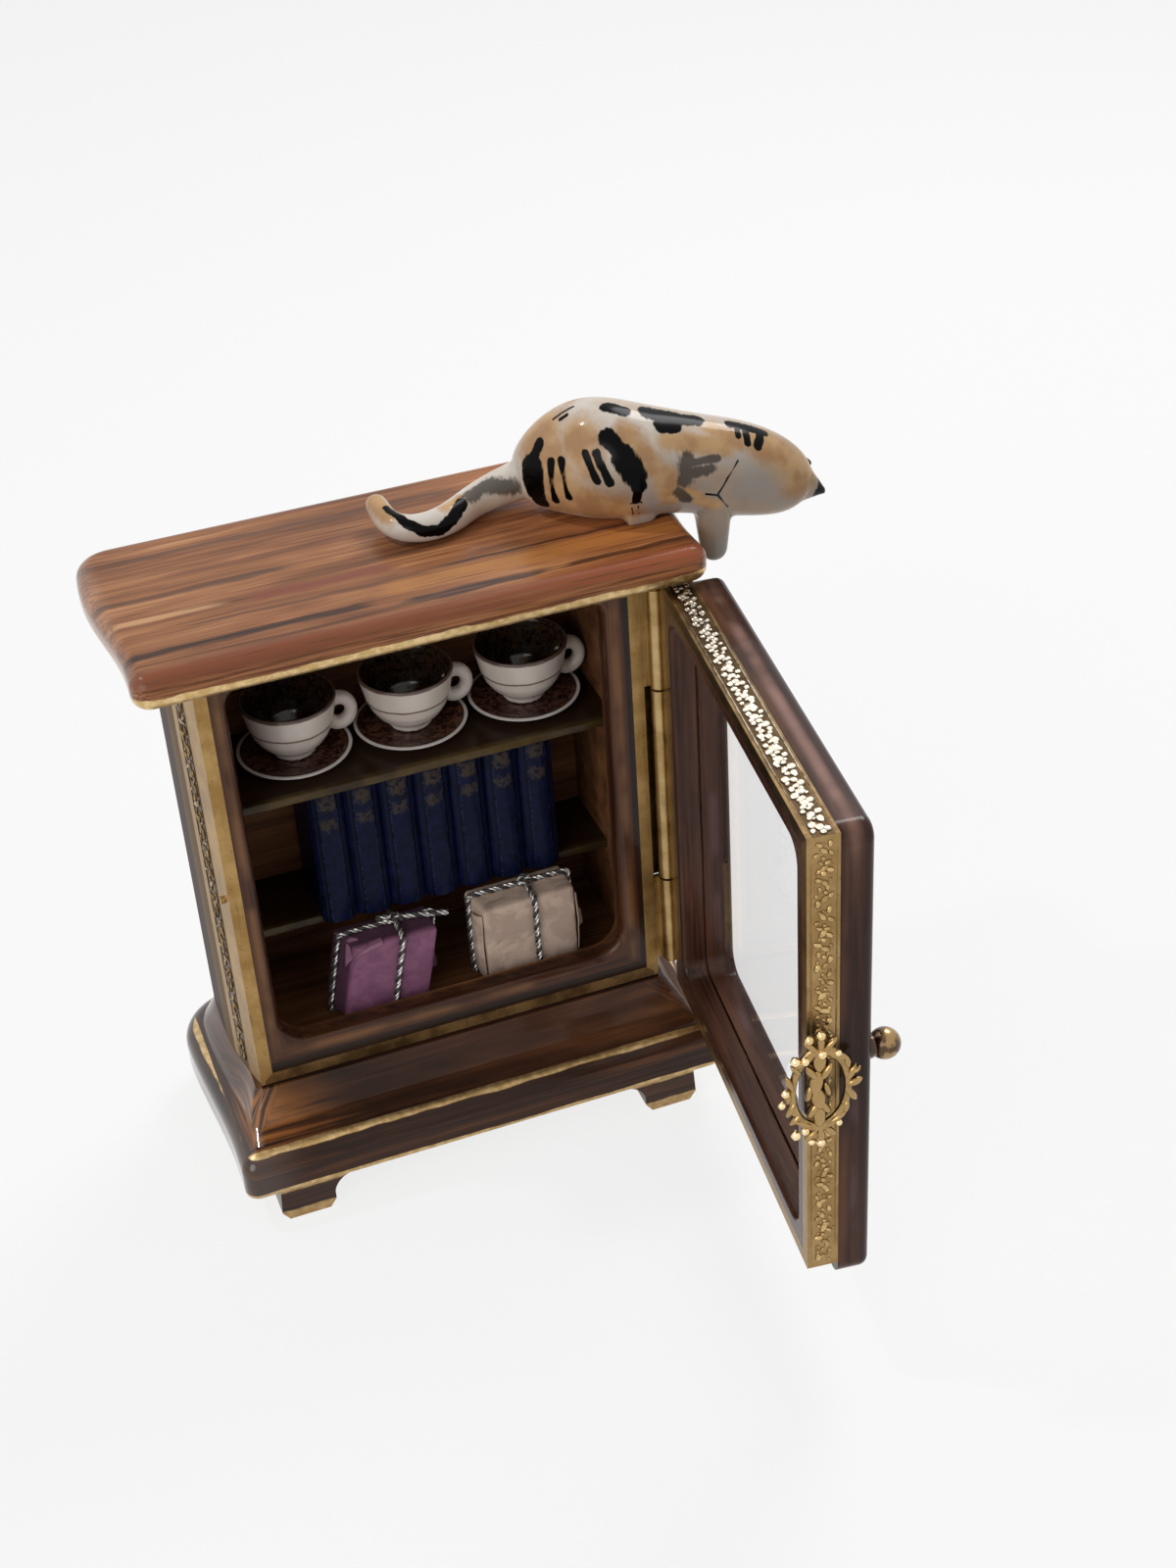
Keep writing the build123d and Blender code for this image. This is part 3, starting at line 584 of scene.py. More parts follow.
def door_relief(finish):
    """How far a chased leaf stands off the door's edge, in millimetres."""
    return door_fields(finish)[2] - door_stile


def flange_relief(finish):
    """How far a chased leaf stands off the case's side band, in millimetres."""
    outward = (abs(finish.x) - flange_front) * (flange_depth / flange_slant)
    return outward - (finish.y - case_low.y) * (flange_spread / flange_slant)


def chased(name, relief, ground, top, height=0.30, shade=None):
    """Chased brass: dark in its ground and rubbed bright on the leaves, darkened by painted shade where a
    shade is given.
    """
    finish = Finish(name, {"Metallic": 1.0})
    patchy = finish.noise(1.1, 4.0, 0.6)
    worn = (relief(finish) / height + patchy * 1.1 - 0.55).rise(0.10, 0.75)
    colour = finish.mix(worn, ground, top)
    if shade:
        colour = finish.mix(shade(finish), colour, [0.6 * part for part in ground])
    finish.set({"Base Color": colour, "Roughness": 0.40 - worn * 0.22})
    finish.bump(finish.noise(3.5, 2.0), 0.05, 0.5)
    return finish.material


# The cat's brushwork: black marks, thin smudges, fine lines and tan washes, each from, to, half width
cat_marks = (
    ((23.7, -1.7, 83.6), (25.0, -2.6, 83.2), 0.85),
    ((27.7, -2.8, 82.6), (30.3, -3.6, 81.9), 1.20),
    ((30.3, -3.8, 81.8), (32.4, -4.0, 81.3), 0.95),
    ((28.5, -4.6, 81.8), (29.6, -4.7, 81.6), 1.00),
    ((36.0, -4.7, 80.3), (39.3, -5.5, 79.1), 0.70),
    ((38.7, -6.0, 79.0), (37.9, -7.3, 78.5), 0.50),
    ((37.2, -5.6, 79.6), (36.9, -7.0, 79.0), 0.42),
    ((36.4, -5.2, 80.0), (36.1, -6.3, 79.5), 0.36),
    ((22.5, -4.5, 81.8), (23.6, -6.0, 80.0), 0.95),
    ((23.6, -6.0, 80.0), (24.4, -6.8, 78.2), 1.30),
    ((24.4, -6.8, 78.2), (24.7, -7.0, 76.8), 0.85),
    ((24.7, -7.0, 76.8), (24.5, -6.7, 75.0), 0.48),
    ((20.3, -3.9, 80.2), (20.9, -5.3, 77.5), 0.45),
    ((21.2, -4.6, 80.3), (22.0, -6.0, 77.4), 0.50),
    ((16.8, 0.7, 80.0), (15.8, 0.6, 77.8), 0.70),
    ((15.8, 0.5, 77.6), (15.9, 0.2, 75.2), 1.45),
    ((16.0, 0.2, 75.6), (16.4, 0.1, 73.9), 1.15),
    ((17.4, -1.3, 78.7), (17.6, -1.6, 74.5), 0.52),
    ((18.3, -2.2, 79.1), (18.6, -2.9, 75.2), 0.48),
    ((45.0, -6.4, 71.7), (46.4, -6.4, 70.8), 1.15),
    ((44.7, -3.4, 74.7), (46.0, -3.5, 73.1), 0.90),
    ((19.2, 0.4, 82.4), (19.9, 0.2, 82.8), 0.24),
    ((1.0, 4.4, 74.6), (2.1, 1.3, 74.0), 0.50),
    ((2.1, 1.3, 74.0), (3.6, 0.4, 73.1), 0.55),
    ((3.6, 0.4, 73.1), (5.4, 0.3, 72.8), 0.62),
    ((5.4, 0.3, 72.8), (6.9, 0.8, 73.5), 0.72),
    ((6.9, 0.8, 73.5), (8.5, 2.4, 74.3), 0.66),
    ((19.5, 6.0, 79.5), (22.0, 6.2, 77.0), 1.30),
    ((27.0, 3.9, 79.5), (29.5, 3.2, 77.0), 1.10),
    ((34.0, 1.6, 78.5), (36.0, 0.8, 76.8), 0.90),
)
cat_smudges = (
    ((30.0, -7.0, 78.6), (29.6, -7.5, 76.6), 0.85),
    ((30.2, -7.2, 78.3), (33.2, -7.7, 78.4), 0.42),
    ((30.4, -7.6, 77.3), (32.4, -7.8, 77.4), 0.60),
    ((28.9, -7.4, 75.4), (29.9, -7.1, 74.2), 0.62),
    ((9.6, 3.0, 74.6), (12.2, 3.8, 75.0), 0.85),
    ((12.2, 3.6, 75.0), (14.4, 2.7, 74.6), 0.95),
    ((40.5, -0.6, 76.0), (41.5, -1.0, 74.6), 0.70),
)
cat_lines = (
    ((35.3, -8.1, 77.8), (34.0, -8.4, 76.3), 0.11),
    ((34.0, -8.4, 76.3), (33.0, -8.2, 74.6), 0.13),
    ((31.8, -7.8, 74.7), (33.0, -8.1, 74.4), 0.15),
    ((33.0, -8.1, 74.4), (34.2, -7.7, 72.7), 0.16),
    ((34.2, -7.7, 72.7), (34.9, -6.7, 70.9), 0.12),
    ((24.2, -6.1, 74.1), (24.6, -5.3, 72.8), 0.09),
    ((24.8, -6.4, 74.3), (25.2, -5.4, 72.8), 0.09),
    ((24.0, -6.4, 74.7), (25.0, -6.7, 74.9), 0.11),
    ((25.0, -6.7, 74.9), (25.7, -6.0, 73.6), 0.11),
    ((18.8, 1.3, 82.1), (20.8, 0.7, 83.3), 0.18),
)
cat_washes = (
    ((17.6, 2.5, 81.0), (17.7, -2.4, 76.5), 3.2),
    ((17.7, -2.4, 76.0), (22.9, -5.2, 73.6), 2.4),
    ((20.1, -2.6, 81.6), (21.0, -3.4, 79.0), 2.4),
    ((28.4, -6.0, 80.7), (34.4, -7.0, 79.3), 1.3),
    ((26.4, -7.2, 78.3), (26.0, -6.6, 80.4), 0.8),
    ((38.4, -6.4, 79.6), (41.8, -7.8, 74.8), 2.5),
    ((42.6, -7.2, 74.0), (43.2, -5.0, 76.2), 2.3),
    ((24.4, -4.8, 81.6), (26.2, -6.6, 79.0), 1.5),
    ((27.4, -7.3, 77.6), (28.2, -7.3, 75.2), 1.5),
    ((16.4, 0.0, 74.4), (21.6, -4.8, 73.4), 1.7),
    ((33.6, -5.4, 80.8), (35.6, -6.6, 79.2), 1.3),
    ((0.2, 6.4, 74.8), (0.9, 3.2, 74.4), 1.3),
    ((31.2, -7.3, 73.9), (33.0, -7.6, 73.0), 0.9),
    ((29.7, -7.4, 75.4), (31.0, -7.5, 74.6), 0.6),
    ((22.0, 3.5, 83.0), (30.0, 2.0, 81.5), 2.0),
    ((8.4, 3.0, 75.0), (6.6, 2.0, 74.6), 0.8),
)


def painted(finish, marks, soft, ragged):
    """1 inside any of the brush marks."""
    nearest = None
    for start, end, half in marks:
        share = finish.reach(start, end) / half
        nearest = nearest.least(share) if nearest else share
    return (nearest + ragged).fall(1 - soft, 1 + soft)


def cat_coat():
    finish = glaze("cat_porcelain", 0.22, 0.06)
    ragged = (finish.grain(finish.x * 2.2, finish.y * 1.4, finish.z * 0.5) - 0.5) * 1.3
    cloud = finish.noise(0.35, 3.0)
    # Painted shade: the white coat turns darker on the cat's front side and lower down.
    side = finish.y.fall(-6.5, -2.0) * finish.z.fall(75.0, 82.0)
    white = finish.mix(cloud, (0.72, 0.66, 0.59), (0.60, 0.54, 0.48))
    white = finish.mix(side, white, (0.34, 0.295, 0.26))
    wash = painted(finish, cat_washes, 0.55, ragged * 0.5 + (cloud - 0.5) * 0.9)
    tan = finish.mix(cloud.rise(0.35, 0.65), (0.40, 0.195, 0.060), (0.56, 0.34, 0.155))
    tinge = finish.noise(0.16, 2.0).rise(0.40, 0.62) * 0.4
    coat = finish.mix((wash * (0.75 + cloud * 0.3)).most(tinge), white, tan)
    smudge = painted(finish, cat_smudges, 0.30, ragged)
    coat = finish.mix(smudge * 0.85, coat, (0.035, 0.027, 0.022))
    black = painted(finish, cat_marks, 0.12, ragged * 0.55)
    coat = finish.mix(black, coat, (0.0015, 0.0012, 0.0014))
    coat = finish.mix(painted(finish, cat_lines, 0.25, ragged * 0.05), coat, SOOT)
    finish.set({"Base Color": coat, "Roughness": 0.20, "Coat Weight": 0.25 - black * 0.22})
    finish.bump(cloud, 0.05, 0.3)
    return finish.material


# Books: where the first begins, their pitch, the middle of a spine, and heights on it
book_first = -12.6
book_pitch = 4.04
spine_middle = 1.98
title_height = (15.2, 17.0)
sign_height = (12.6, 14.0)
book_head = 18.25


def book_glaze():
    finish = glaze("book_blue", 0.05, 0.08)
    aside = abs((finish.x - book_first).math("MODULO", book_pitch) - spine_middle)
    spine = finish.y.fall(book_low.y + 1.0, book_low.y + 1.3)
    height = finish.z - book_low.z
    cloud = finish.noise(0.9, 4.0, 0.6)
    blue = finish.mix(cloud.rise(0.3, 0.7), (0.0014, 0.0028, 0.014), (0.0042, 0.0074, 0.036))
    groove = aside.band(1.15, 1.45, 0.12) * spine
    # Painted highlight: lighter blue strips beside each spine's joints.
    spine_edge_highlight = aside.band(1.0, 1.15, 0.08) * spine * finish.noise(2.2, 3.0).rise(0.45, 0.6)
    wander = finish.noise(1.6, 3.0) - 0.5
    spread = (aside + wander * 1.5).fall(0.75, 1.05)
    upper = (height + wander * 2.0).band(*title_height, 0.25)
    lower = (height + wander * 2.2).band(*sign_height, 0.25)
    marks = spread * upper.most(lower * 0.8) * spine * finish.noise(1.4, 4.0, 0.7).rise(0.36, 0.54)
    head = height.rise(book_head, book_head + 0.25) * finish.noise(1.0).rise(0.35, 0.6)
    colour = finish.over(
        blue,
        (groove * 0.8, (0.0012, 0.0016, 0.006)),
        (spine_edge_highlight * 0.6, (0.026, 0.045, 0.120)),
        (marks * 0.6, (0.085, 0.060, 0.030)),
        (head * 0.55, (0.12, 0.10, 0.045)),
    )
    finish.set({"Base Color": colour, "Roughness": 0.42})
    finish.bump(1.0 - groove + cloud * 0.25, 0.12, 0.7)
    return finish.material


def paper(name, tint, shade, shaded_from=None):
    """Matt wrapping paper with soft creases, with painted shade from a depth backwards if one is given."""
    finish = Finish(name, {"Roughness": 0.62, "Specular IOR Level": 0.3})
    crease = finish.noise(0.35, 3.0, 0.6, 0.6)
    fibre = finish.noise(4.0, 3.0, 0.6)
    colour = finish.mix(crease.rise(0.42, 0.60), tint, shade)
    if shaded_from is not None:
        # Painted shade: the paper turns far darker behind this depth, over the parcel's top and side.
        dull_brass_and_paper_shade = finish.y.rise(shaded_from, shaded_from + 0.7)
        colour = finish.mix(dull_brass_and_paper_shade * 0.85, colour, [0.12 * part for part in tint])
    finish.set({"Base Color": finish.mix(fibre * 0.25, colour, [0.8 * part for part in tint])})
    finish.bump(abs(crease - 0.5) * 2.0 + fibre * 0.08, 0.35, 0.55)
    return finish.material


def silver_thread():
    finish = Finish("silver_thread", {"Metallic": 0.85, "Roughness": 0.32})
    twist = finish.noise(3.0, 2.0).rise(0.40, 0.60)
    finish.set({"Base Color": finish.mix(twist, (0.62, 0.60, 0.58), (0.30, 0.28, 0.27))})
    return finish.material


def dark_thread():
    finish = Finish("dark_thread", {"Roughness": 0.5})
    twist = finish.noise(3.0)
    finish.set({"Base Color": finish.mix(twist, (0.045, 0.035, 0.035), (0.012, 0.010, 0.010))})
    return finish.material


# A height between the two shelves
between_shelves = 40.0


def shelf_glaze():
    finish = glaze("shelf_paint", 0.2)
    wood = brushed_wood(finish, finish.x, finish.y, finish.z, INSIDE_STOPS, 6.0)
    fronts = [box(name)[0].y + 0.5 for name in ("lower_shelf", "upper_shelf")]
    lower, upper = (finish.y.fall(front, front + 0.5) for front in fronts)
    share = finish.z.rise(between_shelves, between_shelves + 1.0)
    edge = (upper * share + lower * (1.0 - share)).least(1.0)
    patchy = finish.noise(0.2, 4.0).rise(0.36, 0.62)
    ochre = finish.mix(patchy, (0.085, 0.053, 0.014), (0.034, 0.019, 0.007))
    # Painted shade: every shelf surface is first laid over with near black, as the shade on the shelf tops;
    # only the front edges then get ochre.
    colour = finish.over(wood, (0.90, (0.013, 0.006, 0.003)), (edge, ochre))
    finish.set({"Base Color": colour, "Roughness": 0.34})
    return finish.material


def window():
    finish = Finish("window_glass", {"Transmission Weight": 1.0, "IOR": 1.12})
    smear = finish.noise(0.08, 3.0)
    finish.set({"Base Color": (1.0, 1.0, 1.0), "Roughness": smear.rise(0.5, 0.9) * 0.05})
    return finish.material


def knob_finish():
    finish = glaze("knob_gilding", 0.6)
    through = door_fields(finish)[1]
    wear = finish.noise(0.6, 4.0, 0.6)
    gold = finish.mix(wear.rise(0.44, 0.58), (0.085, 0.042, 0.020), (0.36, 0.225, 0.090))
    ball = through.rise(door_thickness + 0.55, door_thickness + 0.75)
    brown = finish.mix(wear, (0.05, 0.022, 0.014), (0.12, 0.055, 0.03))
    finish.set({"Base Color": finish.mix(ball, brown, gold), "Metallic": ball * 0.9})
    finish.set({"Roughness": 0.22 + wear * 0.14})
    return finish.material


def give(piece, *materials):
    """Gives a piece these materials in place of its own."""
    piece.data.materials.clear()
    for material in materials:
        piece.data.materials.append(material)


# Modelling
def add_form(add, **settings):
    """One of Blender's own forms, added with nothing else selected."""
    bpy.ops.object.select_all(action="DESELECT")
    add(**settings)
    return bpy.context.object


def edit_all():
    """Opens the active piece in edit mode with all of it selected."""
    bpy.ops.object.mode_set(mode="EDIT")
    bpy.ops.mesh.select_all(action="SELECT")


def end_edit():
    bpy.ops.object.mode_set(mode="OBJECT")


def select_only(piece):
    bpy.ops.object.select_all(action="DESELECT")
    piece.select_set(True)
    bpy.context.view_layer.objects.active = piece


def apply_all(piece):
    select_only(piece)
    for modifier in list(piece.modifiers):
        bpy.ops.object.modifier_apply(modifier=modifier.name)


def settle(piece):
    """Puts the place, turn and scale into the mesh."""
    select_only(piece)
    bpy.ops.object.transform_apply(location=True, rotation=True, scale=True)
    return piece


def join(pieces, name):
    select_only(pieces[0])
    for piece in pieces:
        piece.select_set(True)
    if len(pieces) > 1:
        bpy.ops.object.join()
    pieces[0].name = name
    return settle(pieces[0])


# Points closer than this, in metres, are merged
same_point = 0.00001


def copy_node(name, new_name):
    """A node's mesh as a new merged piece."""
    piece = link_new(new_name, nodes[name].data.copy())
    select_only(piece)
    edit_all()
    bpy.ops.mesh.remove_doubles(threshold=same_point)
    end_edit()
    return piece


def even_out(piece, voxel, rounds):
    """Remeshes a piece in small even faces and softens it."""
    remesh = piece.modifiers.new("even", "REMESH")
    remesh.mode = "VOXEL"
    remesh.voxel_size = voxel * MM
    soften = piece.modifiers.new("soften", "SMOOTH")
    soften.iterations = rounds
    apply_all(piece)
    bpy.ops.object.shade_smooth()
    return piece


def hand_over(piece, body, slot, materials, *stands_for):
    """The piece's finish, the body it rides on and the nodes it stands for."""
    give(piece, *materials)
    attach(piece, body)
    if stands_for:
        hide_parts(*stands_for)


# The cat's ears: middle of the base, tip, radius at the base; and the radius at both tips
cat_ears = (
    ((43.3, -6.3, 72.9), (46.0, -6.4, 70.9), 1.65),
    ((42.9, -3.3, 74.0), (45.8, -3.5, 73.0), 1.55),
)
ear_tip = 0.3
# The size of its even faces, and how many rounds of softening they get
cat_face = 0.22
cat_rounds = 14


def make_cat():
    parts = [copy_node("cat_figure", "cat")]
    for start, tip, radius in cat_ears:
        run = Vector(tip) - Vector(start)
        ear = add_form(
            bpy.ops.mesh.primitive_cone_add,
            vertices=24, radius1=radius * MM, radius2=ear_tip * MM, depth=run.length * MM,
        )
        ear.rotation_euler = run.to_track_quat("Z", "Y").to_euler()
        ear.location = metres(Vector(start) + run / 2)
        parts.append(ear)
    cat = even_out(join(parts, "cat"), cat_face, cat_rounds)
    hand_over(cat, "cabinet", "cat_glaze", [cat_coat()], "cat_figure")


def select_points(piece, wanted):
    """In edit mode, leaves selected only the points whose place passes a test."""
    bpy.ops.mesh.select_all(action="DESELECT")
    end_edit()
    for vertex in piece.data.vertices:
        vertex.select = wanted(vertex.co)
    bpy.ops.object.mode_set(mode="EDIT")


def draw_line(name, points):
    """A line of edges drawn out from one point to the next. It is left in edit mode."""
    piece = add_form(bpy.ops.mesh.primitive_plane_add, size=MM)
    piece.name = name
    edit_all()
    bpy.ops.mesh.select_mode(type="VERT")
    bpy.ops.mesh.merge(type="CENTER")
    bpy.ops.transform.translate(value=points[0])
    for before, after in zip(points, points[1:]):
        bpy.ops.mesh.extrude_vertices_move(TRANSFORM_OT_translate={"value": after - before})
    return piece


def placed(centre, along, up, size):
    """Where a form lies: its middle, its length's direction, its face's direction and its size."""
    x_axis = Vector(along).normalized()
    y_axis = Vector(up).cross(x_axis).normalized()
    turn = turned(centre, (x_axis, y_axis, x_axis.cross(y_axis)))
    return turn @ Matrix.Diagonal((*(Vector(size) * MM), 1))


def rounded_block(matrix, edge, steps):
    """A cube laid by a matrix, with its edges rounded, in millimetres."""
    block = add_form(bpy.ops.mesh.primitive_cube_add, size=1)
    block.matrix_world = matrix
    settle(block)
    edit_all()
    bpy.ops.mesh.bevel(offset=edge * MM, segments=steps)
    end_edit()
    return block


def leaf_mesh():
    """One chased leaf: a ball drawn in towards both ends, lying along X."""
    leaf = add_form(
        bpy.ops.mesh.primitive_uv_sphere_add,
        segments=8, ring_count=6, radius=0.5, rotation=(0, math.pi / 2, 0),
    )
    settle(leaf)
    edit_all()
    bpy.ops.mesh.select_mode(type="VERT")
    for side in (-1, 1):
        select_points(leaf, lambda spot: spot.x * side > 0.3)
        bpy.ops.transform.resize(value=(1, 0.65, 0.75))
    bpy.ops.mesh.select_all(action="SELECT")
    bpy.ops.transform.resize(value=(1, 0.8, 1))
    end_edit()
    bpy.ops.object.shade_smooth()
    return leaf


def petal(source, centre, along, up, length, width, height):
    """A copy of the leaf laid at a place, in millimetres."""
    leaf = link_new("leaf", source.data.copy())
    leaf.matrix_world = placed(centre, along, up, (length, width, height))
    return leaf


# One cluster of the chased bands: place along and across, turn in degrees, length and width
leaf_cluster = (
    (0.00, 0.00, 40, 1.25, 0.62),
    (0.55, 0.42, 58, 0.95, 0.50),
    (-0.50, -0.46, 24, 0.95, 0.50),
    (0.62, -0.50, -30, 0.80, 0.42),
    (-0.66, 0.52, -36, 0.80, 0.42),
    (1.05, 0.05, 5, 0.55, 0.48),
)
cluster_length = 2.15
cluster_width = 1.9
# The fine edges beside a band: how far off they stand, and how wide they are
border_gap = 0.18
border_width = 0.24


def shake(seed):
    """A fixed irregular share between -1 and 1."""
    return math.sin(seed * 12.99 + 4.1) * math.cos(seed * 4.73)


def chased_band(leaf, start, end, across, up, width, pitch, relief, name, plump=1.0):
    """A row of raised leaf clusters, each a little different, between two fine edges."""
    run = (end - start).normalized()
    length = (end - start).length
    count = round(length / pitch)
    step = length / count
    grow = step / cluster_length
    made = []
    for index in range(count):
        flip = 1 if index % 2 == 0 else -1
        centre = start + run * (step * (index + 0.5))
        for order, (go, side, turn, long, wide) in enumerate(leaf_cluster):
            seed = index * 7 + order
            size = 1.05 + 0.35 * shake(seed)
            angle = math.radians(turn * flip + 40 * shake(seed + 0.5))
            heading = run * math.cos(angle) + across * math.sin(angle)
            ahead = go * grow + 0.25 * shake(seed + 0.7)
            sideways = (side * flip + 0.18 * shake(seed + 0.3)) * width / cluster_width
            place = centre + run * ahead + across * sideways
            wide *= plump * size * width / 2
            made.append(petal(leaf, place, heading, up, long * grow * size, wide, relief * 2 * size))
    for edge in (-1, 1):
        middle = start + run * (length / 2) + across * (edge * (width / 2 + border_gap))
        made.append(petal(leaf, middle, run, up, length, border_width, relief * 0.9))
    return join(made, name)


# Chased bands: width and pitch on the door and on the case's sides, and how far their leaves stand off
door_band = (2.1, 1.85)
side_band = (2.0, 2.6)
top_relief = 0.26
band_relief = 0.17


def make_bands(leaf):
    """The chased bands round the door's edge and down the sides of the case."""
    # Painted light: the top band's leaves are near-white brass, far paler than the same chased brass on the
    # door's other edges, as the top is lit from above.
    pale = (0.99, 0.90, 0.74)
    bright = chased("chased_top_lit", door_relief, (0.085, 0.048, 0.022), pale, top_relief, hinge_end_shade)
    olive = chased("chased_edge", door_relief, (0.240, 0.145, 0.056), (0.62, 0.43, 0.19))
    dull_brass_and_paper_shade = chased("chased_side", flange_relief, (0.060, 0.034, 0.014), (0.42, 0.28, 0.135))
    near, far = door_near + 0.6, door_far - 0.5
    low, high = rim_low + 0.6, rim_high - 0.6
    through = sum(door_ground) / 2
    up = Vector((0, 0, 1))
    runs = (
        ("door_band_top", near, rim_high, far, rim_high, up, top_relief, 1.7, bright),
        ("door_band_bottom", near, rim_low, far, rim_low, -up, band_relief, 1.2, olive),
        ("door_band_free", door_far, low, door_far, high, door_out, band_relief, 1.2, olive),
        ("door_band_hinge", door_near, low, door_near, high, -door_out, band_relief, 1.2, olive),
    )
    for name, out_0, z_0, out_1, z_1, normal, relief, plump, finish in runs:
        start, end = door_point(out_0, through, z_0), door_point(out_1, through, z_1)
        band = chased_band(leaf, start, end, door_through, normal, *door_band, relief, name, plump)
        hand_over(band, "door", "gilt_brass", [finish])
    for side, name in ((-1, "case_band_left"), (1, "case_band_right")):
        lean = Vector((side * flange_spread, flange_depth, 0)).normalized()
        normal = Vector((side * flange_depth, -flange_spread, 0)).normalized()
        spot = Vector((side * flange_front, case_low.y, 0)) + lean * (sum(side_ground) / 2)
        start, end = spot + up * low, spot + up * high
        band = chased_band(leaf, start, end, lean, normal, *side_band, band_relief, name)
        hand_over(band, "cabinet", "gilt_brass", [dull_brass_and_paper_shade])


# Clasp: centre through the door and in height, how far its middle stands off the door's edge,
# how far its back lies behind that, half sizes, and how much its leaves and beads are spread
clasp_through = 0.8
clasp_z = 38.9
clasp_out = 50.95
clasp_depth = 0.25
clasp_half_width = 2.75
clasp_half_height = 4.75
clasp_spread = 1.04
# Its beads: place across and up, radius
clasp_beads = (
    (-1.1, 6.25, 0.42), (0.0, 6.5, 0.44), (-2.4, 4.05, 0.46), (-1.5, 3.9, 0.44), (-3.35, 0.5, 0.40),
    (-3.7, -0.8, 0.36), (-2.4, -4.8, 0.46), (-1.5, -4.5, 0.40), (0.0, -6.3, 0.42), (-0.9, -6.0, 0.32),
    (0.1, 4.3, 0.46), (1.6, 4.1, 0.34), (1.7, -4.3, 0.34),
)
# Its leaves: place across and up, turn in degrees, length, width
clasp_leaves = (
    (0.0, 5.6, 90, 1.9, 0.75), (0.9, 5.3, 45, 1.5, 0.6), (-0.9, 5.3, 135, 1.5, 0.6),
    (0.0, -5.5, -90, 1.9, 0.75), (0.9, -5.2, -45, 1.4, 0.6), (-0.9, -5.2, -135, 1.4, 0.6),
    (-0.1, 3.4, 90, 2.2, 1.25), (-0.4, 0.9, 84, 2.4, 1.30), (-0.2, -1.0, 98, 2.4, 1.35),
    (-0.1, -3.2, 90, 2.2, 1.20), (0.55, 2.1, 60, 1.7, 0.75), (-0.85, 2.2, 120, 1.7, 0.70),
    (0.65, -0.1, 105, 1.5, 0.60), (-1.15, -0.2, 80, 1.5, 0.60), (0.45, -2.2, -60, 1.6, 0.70),
    (-0.75, -2.3, -120, 1.6, 0.70), (1.6, 3.7, 150, 1.9, 0.75), (-1.6, 3.7, 30, 1.9, 0.75),
    (1.6, -3.7, 210, 1.7, 0.55), (-1.6, -3.7, -30, 1.7, 0.55),
    (2.9, 1.4, 65, 1.6, 0.7), (3.2, 0.2, 15, 1.3, 0.8), (2.9, -1.2, -60, 1.6, 0.7),
    (2.5, 2.7, 100, 1.3, 0.6), (2.4, -2.6, 80, 1.3, 0.6), (3.3, 1.6, 30, 0.9, 0.45),
    (-2.9, 1.4, 110, 1.6, 0.6), (-3.1, 0.0, 90, 1.5, 0.6), (-2.8, -1.6, 65, 1.6, 0.6),
    (-2.4, -2.9, 50, 1.3, 0.55), (-2.3, 2.9, 130, 1.3, 0.55),
)


def clasp_point(across, rise, lift):
    """A place on the clasp, lifted outwards off its middle."""
    through = clasp_through + across * clasp_spread
    return door_point(clasp_out + lift, through, clasp_z + rise * clasp_spread)


def clasp_ring():
    ring = add_form(
        bpy.ops.mesh.primitive_torus_add,
        major_segments=64, minor_segments=12, major_radius=1, minor_radius=0.14,
    )
    size = (clasp_half_width, clasp_half_height, 2.6)
    ring.matrix_world = placed(clasp_point(0, 0, 0), door_through, door_out, size)
    return ring


def clasp_pad():
    """The block that carries the wreath on the door's edge."""
    middle = door_point((door_far + clasp_out) / 2, clasp_through - 0.25, clasp_z)
    size = (2.5, 6.6, clasp_out - door_far)
    return rounded_block(placed(middle, door_through, door_out, size), 0.45, 4)


def make_clasp(leaf):
    """The pierced wreath on the door's free edge, with its leaves, pad and polished beads."""
    made, polished = [clasp_ring()], []
    for across, rise, turn, long, wide in clasp_leaves:
        angle = math.radians(turn)
        heading = door_through * math.cos(angle) + Vector((0, 0, math.sin(angle)))
        spot = clasp_point(across, rise, 0.12)
        made.append(petal(leaf, spot, heading, door_out, long * 1.35, wide * 1.6, 1.0))
    for across, rise, radius in clasp_beads:
        spot = clasp_point(across, rise, 0.28)
        polished.append(petal(leaf, spot, door_through, door_out, *(radius * Vector((2.2, 2.9, 2.2)))))
    made.append(clasp_pad())
    clasp = join(made, "clasp_wreath")
    subdivide = clasp.modifiers.new("round", "SUBSURF")
    subdivide.levels = 1
    subdivide.render_levels = 1
    apply_all(clasp)
    bpy.ops.object.shade_smooth_by_angle(angle=math.radians(50))
    gilt = chased("clasp_gilt", clasp_relief, (0.040, 0.022, 0.010), (0.42, 0.275, 0.115), 0.85)
    hand_over(clasp, "door", "gilt_brass", [gilt], "door_clasp")
    bead_gilt = brass("bead_gilt", (0.80, 0.56, 0.26), (0.99, 0.80, 0.48), 0.08)
    hand_over(join(polished, "clasp_beads"), "door", "gilt_brass", [bead_gilt])


# The hinge's leaf on the case: place of its middle in plan, width and thickness, and how much
# longer than the door's knuckle it is
hinge_leaf_spot = (24.35, -6.75)
hinge_leaf_size = (1.7, 0.45)
hinge_leaf_extra = 1.0


